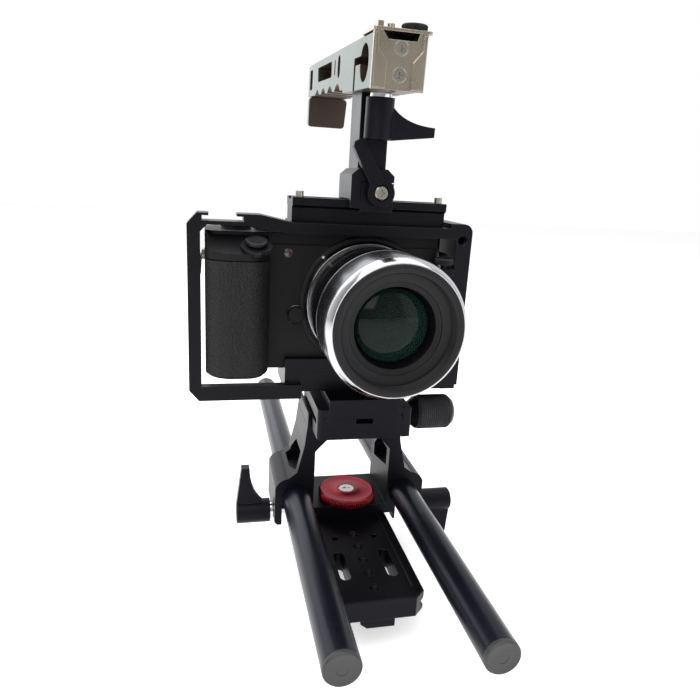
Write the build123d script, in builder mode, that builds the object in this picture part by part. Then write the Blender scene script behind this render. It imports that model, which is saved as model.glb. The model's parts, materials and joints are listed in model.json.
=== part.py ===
"""Cinema camera rig: a mirrorless camera and prime lens in a half cage with a top handle,
on a quick-release clamp, a riser bridge, a pair of 15 mm rods and a slide-in base plate.

Frame: millimetres. X runs across the rig, +X to the right of someone facing the lens.
Y runs along the rods, the lens faces -Y. Z is up. The origin lies on the underside of the
base plate, midway between the rods.
"""
from build123d import *

import os
from math import cos, radians, sin

os.makedirs("parts", exist_ok=True)

# ---------------------------------------------------------------- clearances
FIT = 0.05            # radial running clearance of a shaft in its own hole
GAP = 0.35            # air between neighbours that move past each other
PLAY = 0.3            # air between parts that only sit side by side
SEAT = 0.02           # air left between two faces that are screwed together

# ---------------------------------------------------------------- rods
rod_r = 7.5
rod_wall = 2.0
rod_length = 305.0
rod_spacing = 60.0
rod_z = 22.5                      # height of the rod axes above the base plate's underside
rod_left_front = -100.0
rod_right_front = -104.0
cap_flange = 2.2
cap_spigot = 9.0

# ---------------------------------------------------------------- base plate
plate_width = 45.0
plate_length = 100.0
plate_thick = 10.0
plate_front = -50.5
plate_mid_x = -2.0
plate_hole_pitch = 11.0
plate_hole_r = 2.6
plate_corner = 5.0
waist_depth = 1.8
waist_low = 2.6
waist_high = 6.0
key_width = 16.0
key_drop = 4.4

# ---------------------------------------------------------------- riser bridge
bridge_front = 22.0
bridge_depth = 36.0
sill_thick = 6.0
leg_inner = 20.6                  # half the clear width between the legs
leg_top_outer = 25.3
leg_foot_outer = 30.0
clamp_outer = 11.4                # rod axis to the outer face of a rod clamp
clamp_top_r = 11.8
clamp_ear = 3.8
clamp_screw_drop = 11.0           # rod axis down to the clamp screw
clamp_screw_r = 2.4
ear_bottom = 15.5
block_bottom = 16.5
block_inner = 25.2                # half the slot that the base plate slides in
bridge_top = 63.9
top_plate_thick = 5.4
cheek_height = 7.4
cheek_thick = 1.6
lever_y = 31.0

# ---------------------------------------------------------------- wing levers
hub_r = 6.4
hub_length = 18.0
wing_reach = 26.0
wing_thick = 5.6
collar_r = 4.9
collar_length = 2.0

# ---------------------------------------------------------------- base lock knob
lock_knob_r = 15.7
lock_knob_thick = 5.0
lock_knob_y = 32.0
lock_stud_r = 4.6

# ---------------------------------------------------------------- quick-release clamp
qr_front = 4.0
qr_length = 46.0
qr_left = -23.3
qr_right = 20.0
qr_floor = 74.7
qr_jaw_top = 79.7
qr_lip = 5.3
jaw_thick = 4.6
qr_knob_y = 24.0
qr_knob_z = 69.8
qr_knob_r = 9.4
qr_knob_length = 21.0
qr_knob_gap = 8.0
qr_shaft_r = 3.0
qr_plate_length = 50.0
qr_plate_top = 84.8
qr_flare = 2.6

# ---------------------------------------------------------------- camera body
body_left = -77.0
body_right = 40.3
body_bottom = 96.5
body_height = 67.0
body_front = 22.0
body_depth = 30.0
body_wall = 2.0
body_corner = 6.0
shell_split = 16.0                # front face to the joint between the shells
grip_width = 29.5
grip_reach = 18.0
grip_top_drop = 8.5
lens_x = 1.5
lens_z = 130.0

# ---------------------------------------------------------------- lens
mount_r = 30.8
mount_proud = 3.0
lens_length = 61.0
barrel_r = 29.6
barrel_length = 16.0
focus_r = 30.4
focus_length = 15.0
front_r = 31.1
front_lip_r = 28.6
filter_r = 24.5
glass_r = 16.4

# ---------------------------------------------------------------- cage
cage_front = 15.0
cage_left = -84.8
cage_right = 52.5
cage_base_bottom = 84.8
bar_bottom = 82.2
bar_top = 89.4
bar_depth = 5.0
post_width = 5.8
post_depth = 12.0
arm_depth = 12.0
top_plate_low = 163.9
top_plate_high = 169.0
shoe_floor = 168.4
shoe_floor_thick = 1.8
shoe_slot = 18.6
shoe_mouth = 12.6
shoe_slot_height = 2.3
shoe_lip = 1.2
side_inner = 44.5
side_depth = 30.0
cage_back = 50.0
wheel_x = 38.6
wheel_y = 14.5
wheel_z = 151.6

# ---------------------------------------------------------------- rail and handle
rail_left = -37.0
rail_right = 39.0
rail_front = 19.0
rail_depth = 21.0
rail_height = 11.4
rail_lip = 3.6
rail_undercut = 2.0
foot_half = 10.3
foot_front = 15.5
foot_top = 195.0
foot_bottom = 176.7
foot_jaw_left = -5.7
foot_jaw_height = 12.3
pillar_half = 6.8
pillar_front = 19.6
pillar_depth = 19.6
handle_tilt = 3.8
handle_front = -15.0
handle_bottom = 225.8
handle_half = 11.2
handle_height = 21.2
handle_length = 168.0
face_plate = 3.0
face_screw_reach = 5.6            # stops short of the rod bore
bore_l = 15.3
bore_h = 10.2
handle_stud_l = 26.0
slit = 3.2
lever_pivot_x = 3.2
lever_pivot_z = 184.2
lever_length = 26.0
lever_boss_r = 6.4
lever_thick = 4.0
lever_gap = 0.8

body_top = body_bottom + body_height
body_back = body_front + body_depth
bridge_back = bridge_front + bridge_depth
sill_top = plate_thick + sill_thick
qr_back = qr_front + qr_length
rail_bottom = top_plate_high
rail_top = rail_bottom + rail_height


def finish(builder, label):
    """Name a finished piece and write it as its own STEP file."""
    builder.part.label = label
    export_step(builder.part, f"parts/{label}.step")


def side_plane(x, y=0.0, z=0.0):
    """A sketch plane seen from +X: its x runs along Y and its y along Z."""
    return Plane(origin=(x, y, z), x_dir=(0, 1, 0), z_dir=(1, 0, 0))


def front_plane(y, x=0.0, z=0.0):
    """A sketch plane seen from the front: its x runs along X, its y along Z, it extrudes to -Y."""
    return Plane(origin=(x, y, z), x_dir=(1, 0, 0), z_dir=(0, -1, 0))


def block(x0, x1, y0, y1, z0, z1, mode=Mode.ADD):
    """Add or cut a box between two corners inside the current part."""
    with Locations(((x0 + x1) / 2, (y0 + y1) / 2, (z0 + z1) / 2)):
        Box(x1 - x0, y1 - y0, z1 - z0, mode=mode)


# ================================================================ rods
def make_rod(x, front, side):
    with BuildPart() as rod:
        with BuildSketch(front_plane(front + rod_length - cap_flange, x, rod_z)):
            Circle(rod_r)
            Circle(rod_r - rod_wall, mode=Mode.SUBTRACT)
        extrude(amount=rod_length - 2 * cap_flange)
    finish(rod, f"rod_{side}")

    with BuildPart() as caps:
        for start, inward in ((front, 1), (front + rod_length, -1)):
            cap_plane = Plane(origin=(x, start, rod_z), x_dir=(1, 0, 0), z_dir=(0, inward, 0))
            with BuildSketch(cap_plane):
                Circle(rod_r)
            extrude(amount=cap_flange)
            with BuildSketch(cap_plane.offset(cap_flange)):
                Circle(rod_r - rod_wall - FIT)
            extrude(amount=cap_spigot)
        rims = caps.edges().filter_by(GeomType.CIRCLE)
        ends = rims.filter_by(lambda e: abs(e.radius - rod_r) < 0.01)
        outer = ends.filter_by(
            lambda e: min(abs(e.center().Y - front), abs(e.center().Y - front - rod_length)) < 0.01
        )
        fillet(outer, 0.8)
    finish(caps, f"rod_{side}_caps")


make_rod(-rod_spacing / 2, rod_left_front, "left")
make_rod(rod_spacing / 2, rod_right_front, "right")

# ================================================================ base plate
plate_left = plate_mid_x - plate_width / 2
plate_right = plate_mid_x + plate_width / 2
with BuildPart() as base_plate:
    with BuildSketch(front_plane(plate_front + plate_length)):
        with BuildLine():
            Polyline(
                (plate_left, 0), (plate_right, 0), (plate_right, waist_low - 0.8),
                (plate_right - waist_depth, waist_low), (plate_right - waist_depth, waist_high - 0.8),
                (plate_right, waist_high), (plate_right, plate_thick), (plate_left, plate_thick),
                (plate_left, waist_high), (plate_left + waist_depth, waist_high - 0.8),
                (plate_left + waist_depth, waist_low), (plate_left, waist_low - 0.8), close=True,
            )
        make_face()
    extrude(amount=plate_length)
    with BuildSketch(Plane.XY):
        for x, inward in ((plate_left, 1), (plate_right, -1)):
            with BuildLine():
                Polyline((x - inward, plate_front - 1), (x + inward * plate_corner, plate_front - 1),
                         (x + inward * plate_corner, plate_front), (x, plate_front + plate_corner),
                         (x - inward, plate_front + plate_corner), close=True)
            make_face()
    extrude(amount=plate_thick, mode=Mode.SUBTRACT)
    # a row of tapped holes, two wide slots, and two small pin holes, all from above
    with Locations(*[(plate_mid_x, 3 - plate_hole_pitch * i, plate_thick) for i in range(5)]):
        Hole(plate_hole_r, depth=plate_thick)
    with BuildSketch(Plane.XY.offset(plate_thick)):
        with Locations((plate_mid_x - 11.5, -23), (plate_mid_x + 11.5, -23)):
            SlotOverall(22, 5.2, rotation=90)
        with Locations((plate_mid_x - 10.5, 0), (plate_mid_x + 10.5, 0)):
            Circle(1.6)
    extrude(amount=-plate_thick, mode=Mode.SUBTRACT)
    top_rim = base_plate.faces().sort_by(Axis.Z)[-1].outer_wire().edges()
    chamfer(top_rim, 0.5)
    # stop block under the front edge
    with BuildSketch(front_plane(plate_front + 12)):
        with BuildLine():
            Polyline(
                (plate_mid_x - key_width / 2, 0), (plate_mid_x + key_width / 2, 0),
                (plate_mid_x + key_width / 2, -key_drop),
                (plate_mid_x - key_width / 2 + 3.0, -key_drop),
                (plate_mid_x - key_width / 2, -key_drop + 2.4), close=True,
            )
        make_face()
    extrude(amount=11.5)
finish(base_plate, "base_plate")


# ================================================================ riser bridge
def bridge_half_profile(s):
    """Outline of one side of the bridge in the XZ plane; s is -1 on the left, +1 on the right."""
    rod_x = s * rod_spacing / 2
    face_x = rod_x + s * clamp_outer
    leg_low = rod_z + 15.0
    Polyline(
        (0, bridge_top), (s * leg_top_outer, bridge_top), (s * (leg_top_outer + 1.2), bridge_top - 11),
        (s * leg_foot_outer, leg_low), (s * (leg_foot_outer + 4.6), rod_z + clamp_top_r - 0.2),
    )
    ThreePointArc(
        (s * (leg_foot_outer + 4.6), rod_z + clamp_top_r - 0.2),
        (s * (leg_foot_outer + 9.6), rod_z + clamp_top_r - 2.6),
        (face_x, rod_z + 6.2),
    )
    Polyline(
        (face_x, rod_z + 6.2), (face_x, rod_z - ear_bottom + 1.5), (face_x - s * 1.5, rod_z - ear_bottom),
        (face_x - s * clamp_ear, rod_z - ear_bottom), (face_x - s * clamp_ear, rod_z - 4.0),
        (rod_x - s * 3.6, rod_z - 4.0), (rod_x - s * 3.6, rod_z - ear_bottom - 1.0),
        (s * block_inner, rod_z - block_bottom), (s * block_inner, plate_thick), (0, plate_thick),
    )


with BuildPart() as bridge:
    with BuildSketch(front_plane(bridge_back)):
        for s in (-1, 1):
            with BuildLine():
                bridge_half_profile(s)
                Line((0, plate_thick), (0, bridge_top))
            make_face()
        # the opening between the legs, chamfered at its upper corners
        with BuildLine():
            Polyline(
                (-leg_inner, sill_top), (leg_inner, sill_top), (leg_inner, bridge_top - 14.6),
                (leg_inner - 8.6, bridge_top - top_plate_thick),
                (-leg_inner + 8.6, bridge_top - top_plate_thick),
                (-leg_inner, bridge_top - 14.6), close=True,
            )
        make_face(mode=Mode.SUBTRACT)
        with Locations((-rod_spacing / 2, rod_z), (rod_spacing / 2, rod_z)):
            Circle(rod_r + FIT, mode=Mode.SUBTRACT)
    extrude(amount=bridge_depth)
    # cheeks that keep the clamp square on the top plate
    cheek_inner = -qr_left + PLAY
    block(-cheek_inner - cheek_thick, -cheek_inner, bridge_front, bridge_back,
          bridge_top - 1, bridge_top + cheek_height)
    block(cheek_inner, cheek_inner + cheek_thick, qr_front + qr_length + PLAY, bridge_back,
          bridge_top - 1, bridge_top + cheek_height)
    # a window through each leg
    for s in (-1, 1):
        with BuildSketch(side_plane(s * (leg_inner - 2))):
            with BuildLine():
                Polyline(
                    (bridge_front + 5, rod_z + 14.5), (bridge_back - 6, rod_z + 9.5),
                    (bridge_back - 6, rod_z + 17), (bridge_back - 14, rod_z + 25),
                    (bridge_front + 5, rod_z + 25), close=True,
                )
            make_face()
        extrude(amount=s * 14, mode=Mode.SUBTRACT)
    # clamp screw holes: clear through the ear, tapped in the inner block
    for s in (-1, 1):
        screw_x = s * (rod_spacing / 2 + clamp_outer + 1)
        with Locations(Plane(origin=(screw_x, lever_y, rod_z - clamp_screw_drop), z_dir=(s, 0, 0))):
            Cylinder(clamp_screw_r + FIT, 2 * (clamp_outer + 4.6), mode=Mode.SUBTRACT)
    # lock stud hole in the sill, two screw holes in the top plate
    with Locations((0, lock_knob_y, plate_thick)):
        Cylinder(lock_stud_r - 1.6 + FIT, 30, mode=Mode.SUBTRACT)
    with Locations((0, bridge_front + 8, bridge_top), (0, bridge_back - 10, bridge_top)):
        Cylinder(2.0, 3 * top_plate_thick, mode=Mode.SUBTRACT)
finish(bridge, "riser_bridge")


# ================================================================ wing levers
def make_wing_lever(origin, axis, wing, name):
    """A hub on its stud, with one swept wing. The hub grows from origin along axis."""
    axis_v = Vector(*axis)
    wing_v = Vector(*wing)
    hub_plane = Plane(origin=origin, x_dir=wing, z_dir=axis)
    wing_plane = Plane(origin=origin, x_dir=wing, z_dir=tuple(wing_v.cross(axis_v)))
    with BuildPart() as lever:
        with BuildSketch(hub_plane.offset(collar_length)):
            Circle(hub_r)
            Circle(clamp_screw_r + FIT, mode=Mode.SUBTRACT)
        extrude(amount=hub_length)
        end_rim = lever.edges().filter_by(GeomType.CIRCLE).filter_by(lambda e: e.radius > hub_r - 0.1)
        chamfer(end_rim.sort_by(lambda e: (e.center() - hub_plane.origin).dot(axis_v))[-1:], 0.6)
        with BuildSketch(wing_plane):
            low = collar_length + 3.2
            high = collar_length + hub_length
            tip = collar_length + hub_length * 0.62
            with BuildLine():
                Line((hub_r - 1.2, high), (wing_reach, high - 2.6))
                Line((wing_reach, high - 2.6), (wing_reach, tip))
                Spline((wing_reach, tip), (hub_r + 9, tip - 1.6), (hub_r - 1.2, low),
                       tangents=((-1, -0.05), (-0.8, -1)))
                Line((hub_r - 1.2, low), (hub_r - 1.2, high))
            make_face()
        extrude(amount=wing_thick / 2, both=True)
    finish(lever, name)


def make_stud(origin, axis, reach, name):
    """A clamp stud with its bright collar. reach is how far it goes in behind the collar."""
    stud_plane = Plane(origin=origin, z_dir=axis)
    with BuildPart() as stud:
        with BuildSketch(stud_plane.offset(PLAY)):
            Circle(collar_r)
        extrude(amount=collar_length - PLAY)
        with BuildSketch(stud_plane.offset(-reach)):
            Circle(clamp_screw_r)
        extrude(amount=reach + collar_length + hub_length - 2)
    finish(stud, name)


lever_x = rod_spacing / 2 + clamp_outer
lever_z = rod_z - clamp_screw_drop
for s, side, wing in ((-1, "left", (0, 0.05, 1)), (1, "right", (0, -0.12, -1))):
    lever_origin = (s * lever_x, lever_y, lever_z)
    make_wing_lever(lever_origin, (s, 0, 0), wing, f"rod_lever_{side}")
    make_stud(lever_origin, (s, 0, 0), clamp_outer + 3.0, f"rod_lever_stud_{side}")

# ================================================================ base lock knob
with BuildPart() as lock_knob:
    with BuildSketch(Plane.XY.offset(sill_top + PLAY)):
        with Locations((0, lock_knob_y)):
            Circle(lock_knob_r)
    extrude(amount=lock_knob_thick)
    chamfer(lock_knob.edges().group_by(Axis.Z)[-1], 0.7)
    with BuildSketch(Plane.XY):
        with Locations((0, lock_knob_y)):
            Circle(lock_stud_r + 0.01)
    extrude(amount=40, mode=Mode.SUBTRACT)
finish(lock_knob, "lock_knob")

with BuildPart() as lock_stud:
    with BuildSketch(Plane.XY.offset(sill_top + PLAY)):
        with Locations((0, lock_knob_y)):
            Circle(lock_stud_r)
    extrude(amount=lock_knob_thick + 0.2)
    with BuildSketch(Plane.XY.offset(sill_top + PLAY)):
        with Locations((0, lock_knob_y)):
            Circle(lock_stud_r - 1.6)
    extrude(amount=-(sill_thick + PLAY - GAP))
finish(lock_stud, "lock_knob_stud")

# ================================================================ quick-release clamp
with BuildPart() as qr_base:
    block(qr_left, qr_right, qr_front, qr_back, bridge_top, qr_floor)
    # the fixed jaw along the left, with its dovetail lip
    with BuildSketch(front_plane(qr_back)):
        with BuildLine():
            Polyline(
                (qr_left, qr_floor - 1), (qr_left, qr_jaw_top), (qr_left + qr_lip, qr_jaw_top),
                (qr_left + qr_lip, qr_jaw_top - 1.4), (qr_left + qr_lip - 2.4, qr_floor),
                (qr_left + qr_lip - 2.4, qr_floor - 1), close=True,
            )
        make_face()
    extrude(amount=qr_length)
    fillet(qr_base.edges().filter_by(Axis.Z).group_by(Axis.X)[0].group_by(Axis.Y)[0], 2.6)
    # a long slot in the left face, a pin notch at the front, guide slots for the sliding jaw
    block(qr_left - 1, qr_left + 2.6, qr_front + 5, qr_back - 6, qr_floor - 4.2, qr_floor - 1.2,
          Mode.SUBTRACT)
    block(-4, 5, qr_front - 1, qr_front + 5, qr_floor - 2.6, qr_floor + 1, Mode.SUBTRACT)
    for y in (qr_front + 4, qr_back - 10):
        block(qr_right - 12, qr_right + 1, y - GAP, y + 6 + GAP, qr_floor - 9 - GAP,
              qr_floor - 2.5 + GAP, Mode.SUBTRACT)
    with Locations(Plane(origin=(qr_right + 1, qr_knob_y, qr_knob_z), z_dir=(1, 0, 0))):
        Cylinder(qr_shaft_r + FIT, 2 * 26, mode=Mode.SUBTRACT)
    with Locations((0, bridge_front + 8, bridge_top), (0, bridge_back - 10, bridge_top)):
        Cylinder(2.0, 2 * 8, mode=Mode.SUBTRACT)
finish(qr_base, "qr_clamp_base")

jaw_left = qr_right + GAP
jaw_right = jaw_left + jaw_thick
with BuildPart() as qr_jaw:
    block(jaw_left, jaw_right, qr_front, qr_back, bridge_top + GAP, qr_jaw_top)
    # the lip that bears on the plate's dovetail
    with BuildSketch(front_plane(qr_back)):
        with BuildLine():
            Polyline((jaw_left, qr_floor + 0.9), (jaw_left - 1.6, qr_jaw_top - 1.4),
                     (jaw_left - 1.6, qr_jaw_top), (jaw_left, qr_jaw_top), close=True)
        make_face()
    extrude(amount=qr_length)
    # two guide tongues that run in the base
    for y in (qr_front + 4, qr_back - 10):
        block(qr_right - 11 + 3.2, jaw_left + 1, y, y + 6, qr_floor - 9, qr_floor - 2.5)
    fillet(qr_jaw.edges().filter_by(Axis.Z).group_by(Axis.X)[-1], 1.2)
    with Locations(Plane(origin=(jaw_right, qr_knob_y, qr_knob_z), z_dir=(1, 0, 0))):
        Cylinder(qr_shaft_r + FIT, 3 * jaw_thick, mode=Mode.SUBTRACT)
finish(qr_jaw, "qr_clamp_jaw")

knob_plane = Plane(origin=(jaw_right + PLAY, qr_knob_y, qr_knob_z), z_dir=(1, 0, 0))
with BuildPart() as qr_knob:
    with BuildSketch(Plane(origin=knob_plane.origin, x_dir=(1, 0, 0), z_dir=(0, -1, 0))):
        with BuildLine():
            Polyline(
                (0, qr_shaft_r + 0.01), (0, 4.4), (2.4, 4.4), (qr_knob_gap, 8.0),
                (qr_knob_gap + 1.4, qr_knob_r), (qr_knob_gap + qr_knob_length - 2.6, qr_knob_r),
                (qr_knob_gap + qr_knob_length, qr_knob_r - 2.6),
                (qr_knob_gap + qr_knob_length, qr_shaft_r + 0.01), close=True,
            )
        make_face()
    revolve(axis=Axis(knob_plane.origin, (1, 0, 0)))
finish(qr_knob, "qr_knob")

with BuildPart() as qr_shaft:
    with BuildSketch(knob_plane.offset(-24)):
        Circle(qr_shaft_r)
    extrude(amount=24 + qr_knob_gap + qr_knob_length - 0.4)
finish(qr_shaft, "qr_knob_shaft")

with BuildPart() as qr_plate:
    plate_low = qr_floor + SEAT
    with BuildSketch(front_plane(qr_front + qr_plate_length)):
        mid = (qr_left + qr_lip + jaw_left - 1.6) / 2
        half = (jaw_left - 1.6 - qr_left - qr_lip) / 2 - PLAY / 3
        with BuildLine():
            Polyline(
                (mid - half - qr_flare + 0.6, plate_low), (mid + half + qr_flare - 1.4, plate_low),
                (mid + half, qr_jaw_top - 1.4), (mid + half, qr_plate_top),
                (mid - half, qr_plate_top), (mid - half, qr_jaw_top - 1.4), close=True,
            )
        make_face()
    extrude(amount=qr_plate_length)
    with Locations((lens_x, qr_front + 34, qr_plate_top)):
        Cylinder(3.3, 40, mode=Mode.SUBTRACT)
    with Locations((lens_x, qr_front + 34, plate_low)):
        Cylinder(6.4, 2 * 3.2, mode=Mode.SUBTRACT)
finish(qr_plate, "qr_plate")

with BuildPart() as camera_screw:
    with BuildSketch(Plane.XY.offset(plate_low + 0.6)):
        with Locations((lens_x, qr_front + 34)):
            Circle(6.2)
    extrude(amount=2.5)
    with BuildSketch(Plane.XY.offset(plate_low + 3)):
        with Locations((lens_x, qr_front + 34)):
            Circle(3.1)
    extrude(amount=qr_plate_top - plate_low - 3 + 8)
finish(camera_screw, "camera_screw")

with BuildPart() as clamp_screws:
    for y in (bridge_front + 8, bridge_back - 10):
        with BuildSketch(Plane.XY.offset(bridge_top - top_plate_thick)):
            with Locations((0, y)):
                Circle(1.95)
        extrude(amount=top_plate_thick + 7)
        with BuildSketch(Plane.XY.offset(bridge_top - top_plate_thick)):
            with Locations((0, y)):
                Circle(3.4)
        extrude(amount=-2.4)
finish(clamp_screws, "clamp_screws")

# ================================================================ cage
slot_mid = -68.85
slot_l = slot_mid - shoe_slot / 2
slot_r = slot_mid + shoe_slot / 2
hook_r = slot_r + 7.8
arm_top = shoe_floor + shoe_slot_height + shoe_lip
with BuildPart() as cage:
    # base under the camera, with the lip in front of it
    block(-38.5, cage_right, body_front + 0.4 - 4.0, cage_back, cage_base_bottom, body_bottom)
    block(-38.5, side_inner + 1, body_front - 4.0, body_front - GAP, body_bottom - 1, body_bottom + 5.5)
    # lower bar of the grip loop, its outer corner cut off
    with BuildSketch(front_plane(cage_front + bar_depth)):
        with BuildLine():
            Polyline(
                (cage_left, bar_bottom + 5.4), (cage_left + 4.6, bar_bottom), (-30.4, bar_bottom),
                (-30.4, bar_top), (cage_left, bar_top), close=True,
            )
        make_face()
    extrude(amount=bar_depth)
    block(-38.5, -30.4, cage_front, body_front, cage_base_bottom - 1.2, bar_top)
    # grip-side post, then the upper arm with its accessory slot
    block(cage_left, cage_left + post_width, cage_front, cage_front + post_depth, bar_top - 1, arm_top - 5)
    with BuildSketch(front_plane(cage_front + arm_depth)):
        with BuildLine():
            Polyline(
                (cage_left, arm_top - 5.5), (cage_left, arm_top - 5), (cage_left + 4.4, arm_top),
                (slot_mid - shoe_mouth / 2, arm_top), (slot_mid - shoe_mouth / 2, arm_top - shoe_lip),
                (slot_l, arm_top - shoe_lip), (slot_l, shoe_floor), (slot_r, shoe_floor),
                (slot_r, arm_top - shoe_lip), (slot_mid + shoe_mouth / 2, arm_top - shoe_lip),
                (slot_mid + shoe_mouth / 2, arm_top), (hook_r, arm_top),
                (rail_left - PLAY, top_plate_high), (rail_left + 1, top_plate_high),
                (rail_left + 1, top_plate_low), (hook_r, top_plate_low + 1.2),
                (hook_r - 6, shoe_floor - shoe_floor_thick), (cage_left + 9, shoe_floor - shoe_floor_thick),
                (cage_left + post_width, arm_top - 8.5), (cage_left, arm_top - 8.5), close=True,
            )
        make_face()
    extrude(amount=arm_depth)
    # top plate over the camera, and the deep side plate on the right
    block(rail_left, cage_right - 1, cage_front, rail_front + rail_depth + 6, top_plate_low, top_plate_high)
    block(side_inner, cage_right, cage_front, cage_front + side_depth, 88.0, 171.4)
    block(side_inner, cage_right, body_front - 4, cage_back, cage_base_bottom, 100.0)
    block(41.0, side_inner + 1, cage_front, cage_front + 4.5, 88.0, 149.0)
    block(41.0, side_inner + 1, cage_front, cage_front + side_depth, 164.5, 171.4)
    # outer corners of the side plate
    ridge = cage.edges().filter_by(Axis.Y).filter_by_position(Axis.X, cage_right - 0.1, cage_right + 0.1)
    fillet(ridge.sort_by(Axis.Z)[-1:], 4.5)
    # clearance for the lens mount and the lens barrel
    with BuildSketch(front_plane(body_front + 2, lens_x, lens_z)):
        Circle(mount_r + 1.2)
    extrude(amount=12, mode=Mode.SUBTRACT)
    # holes: the camera screw, a tapped hole in the side plate's face, holes in its flank
    with Locations((lens_x, qr_front + 34, cage_base_bottom)):
        Cylinder(3.3, 40, mode=Mode.SUBTRACT)
    with BuildSketch(front_plane(cage_front, 47.6, 163.3)):
        Circle(2.6)
    extrude(amount=-12, mode=Mode.SUBTRACT)
    with BuildSketch(side_plane(cage_right + 1)):
        with Locations((cage_front + 15, 112), (cage_front + 15, 124), (cage_front + 15, 136)):
            Circle(2.6)
    extrude(amount=-12, mode=Mode.SUBTRACT)
    with BuildSketch(side_plane(cage_left - 1)):
        with Locations((cage_front + 6, 145.3), (cage_front + 6, 110.0)):
            Circle(2.6)
    extrude(amount=12, mode=Mode.SUBTRACT)
    # lightening slot through the side plate, and a cable window beside the body
    with BuildSketch(side_plane(cage_right + 1)):
        with Locations((cage_front + 16, 152)):
            SlotOverall(18, 7)
    extrude(amount=-12, mode=Mode.SUBTRACT)
    # arm that carries the cable clamp screw
    block(wheel_x - 3.4, 43.0, wheel_y - 3.4, wheel_y + 3.4, wheel_z - 5.2, wheel_z - 2.2)
    block(41.0, 44.3, cage_front + 0.5, cage_front + 8, 148.5, wheel_z - 2.2)
    with Locations((wheel_x, wheel_y, wheel_z - 4)):
        Cylinder(1.5 + FIT, 9, mode=Mode.SUBTRACT)
finish(cage, "cage_frame")

with BuildPart() as rail:
    with BuildSketch(side_plane(rail_left)):
        back = rail_front + rail_depth
        with BuildLine():
            Polyline(
                (rail_front + rail_undercut, rail_bottom), (back - rail_undercut, rail_bottom),
                (back - rail_undercut, rail_top - rail_lip - 1.2), (back, rail_top - rail_lip),
                (back, rail_top), (back - 6.5, rail_top), (back - 6.5, rail_top - 1.2),
                (rail_front + 6.5, rail_top - 1.2), (rail_front + 6.5, rail_top), (rail_front, rail_top),
                (rail_front, rail_top - rail_lip), (rail_front + rail_undercut, rail_top - rail_lip - 1.2),
                close=True,
            )
        make_face()
    extrude(amount=rail_right - rail_left)
    rail_mid_y = rail_front + rail_depth / 2
    with Locations(*[(x, rail_mid_y, rail_top) for x in (rail_left + 12, 1.0, rail_right - 12)]):
        CounterBoreHole(1.7, 3.2, 5.0, depth=rail_height + 2)
    with Locations(*[(x, rail_front + 3.2, rail_top) for x in (rail_left + 3.6, rail_right - 3.6)]):
        Hole(1.25, depth=5)
finish(rail, "handle_rail")

with BuildPart() as rail_screws:
    for x in (rail_left + 12, 1.0, rail_right - 12):
        with BuildSketch(Plane.XY.offset(rail_top - 5.0)):
            with Locations((x, rail_mid_y)):
                Circle(3.0)
        extrude(amount=2.6)
        with BuildSketch(Plane.XY.offset(rail_top - 5.0)):
            with Locations((x, rail_mid_y)):
                Circle(1.6)
        extrude(amount=-(rail_height - 5.0))
        with BuildSketch(Plane.XY.offset(rail_top - 2.4)):
            with Locations((x, rail_mid_y)):
                RegularPolygon(1.5, 6)
        extrude(amount=-1.6, mode=Mode.SUBTRACT)
finish(rail_screws, "rail_screws")

with BuildPart() as rail_pins:
    for x in (rail_left + 3.6, rail_right - 3.6):
        with BuildSketch(Plane.XY.offset(rail_top - 4)):
            with Locations((x, rail_front + 3.2)):
                Circle(1.2)
        extrude(amount=5)
        with BuildSketch(Plane.XY.offset(rail_top + 0.01)):
            with Locations((x, rail_front + 3.2)):
                Circle(1.9)
        extrude(amount=2.8)
finish(rail_pins, "rail_stop_pins")

with BuildPart() as cable_screw:
    with BuildSketch(Plane.XY.offset(wheel_z)):
        with Locations((wheel_x, wheel_y)):
            Circle(4.7)
    extrude(amount=3.2)
    with BuildSketch(Plane.XY.offset(wheel_z + 0.01)):
        with Locations((wheel_x, wheel_y)):
            Circle(1.5)
    extrude(amount=-9)
finish(cable_screw, "cable_clamp_screw")

# ================================================================ handle foot on the rail
with BuildPart() as foot:
    foot_back = rail_front + rail_depth + 3.5
    block(-foot_half, foot_half, foot_front, foot_back, rail_top + GAP, foot_top)
    # front flange in front of the rail's lip, fixed hook behind it
    block(-foot_half, foot_half, foot_front, rail_front - GAP, foot_bottom, rail_top + 2)
    with BuildSketch(side_plane(-foot_half)):
        back = rail_front + rail_depth + GAP
        low = rail_top - rail_lip - GAP
        with BuildLine():
            Polyline(
                (back, rail_top + 2), (back, low), (back - rail_undercut + GAP, low - 1.2),
                (back - rail_undercut + GAP, low - 2.4), (foot_back, low - 2.4),
                (foot_back, rail_top + 2), close=True,
            )
        make_face()
    extrude(amount=2 * foot_half)
    # sloped shoulders up to the pillar
    shoulders = foot.faces().sort_by(Axis.Z)[-1].edges()
    chamfer(shoulders.filter_by(Axis.Y), 3.0, 3.4)
    block(-pillar_half, pillar_half, pillar_front, pillar_front + pillar_depth, foot_top - 1, 245)
    handle_up = (0, -sin(radians(handle_tilt)), cos(radians(handle_tilt)))
    split(bisect_by=Plane(origin=(0, handle_front, handle_bottom), z_dir=handle_up), keep=Keep.BOTTOM)
    # pocket for the sliding jaw and the lever's pivot screw
    block(foot_jaw_left, foot_half + 1, foot_front - 1, rail_front, foot_bottom - 1,
          foot_bottom + foot_jaw_height, Mode.SUBTRACT)
    with Locations(Plane(origin=(lever_pivot_x, foot_front, lever_pivot_z), z_dir=(0, -1, 0))):
        Cylinder(1.9 + FIT, 2 * 12, mode=Mode.SUBTRACT)
finish(foot, "handle_foot")

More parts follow.
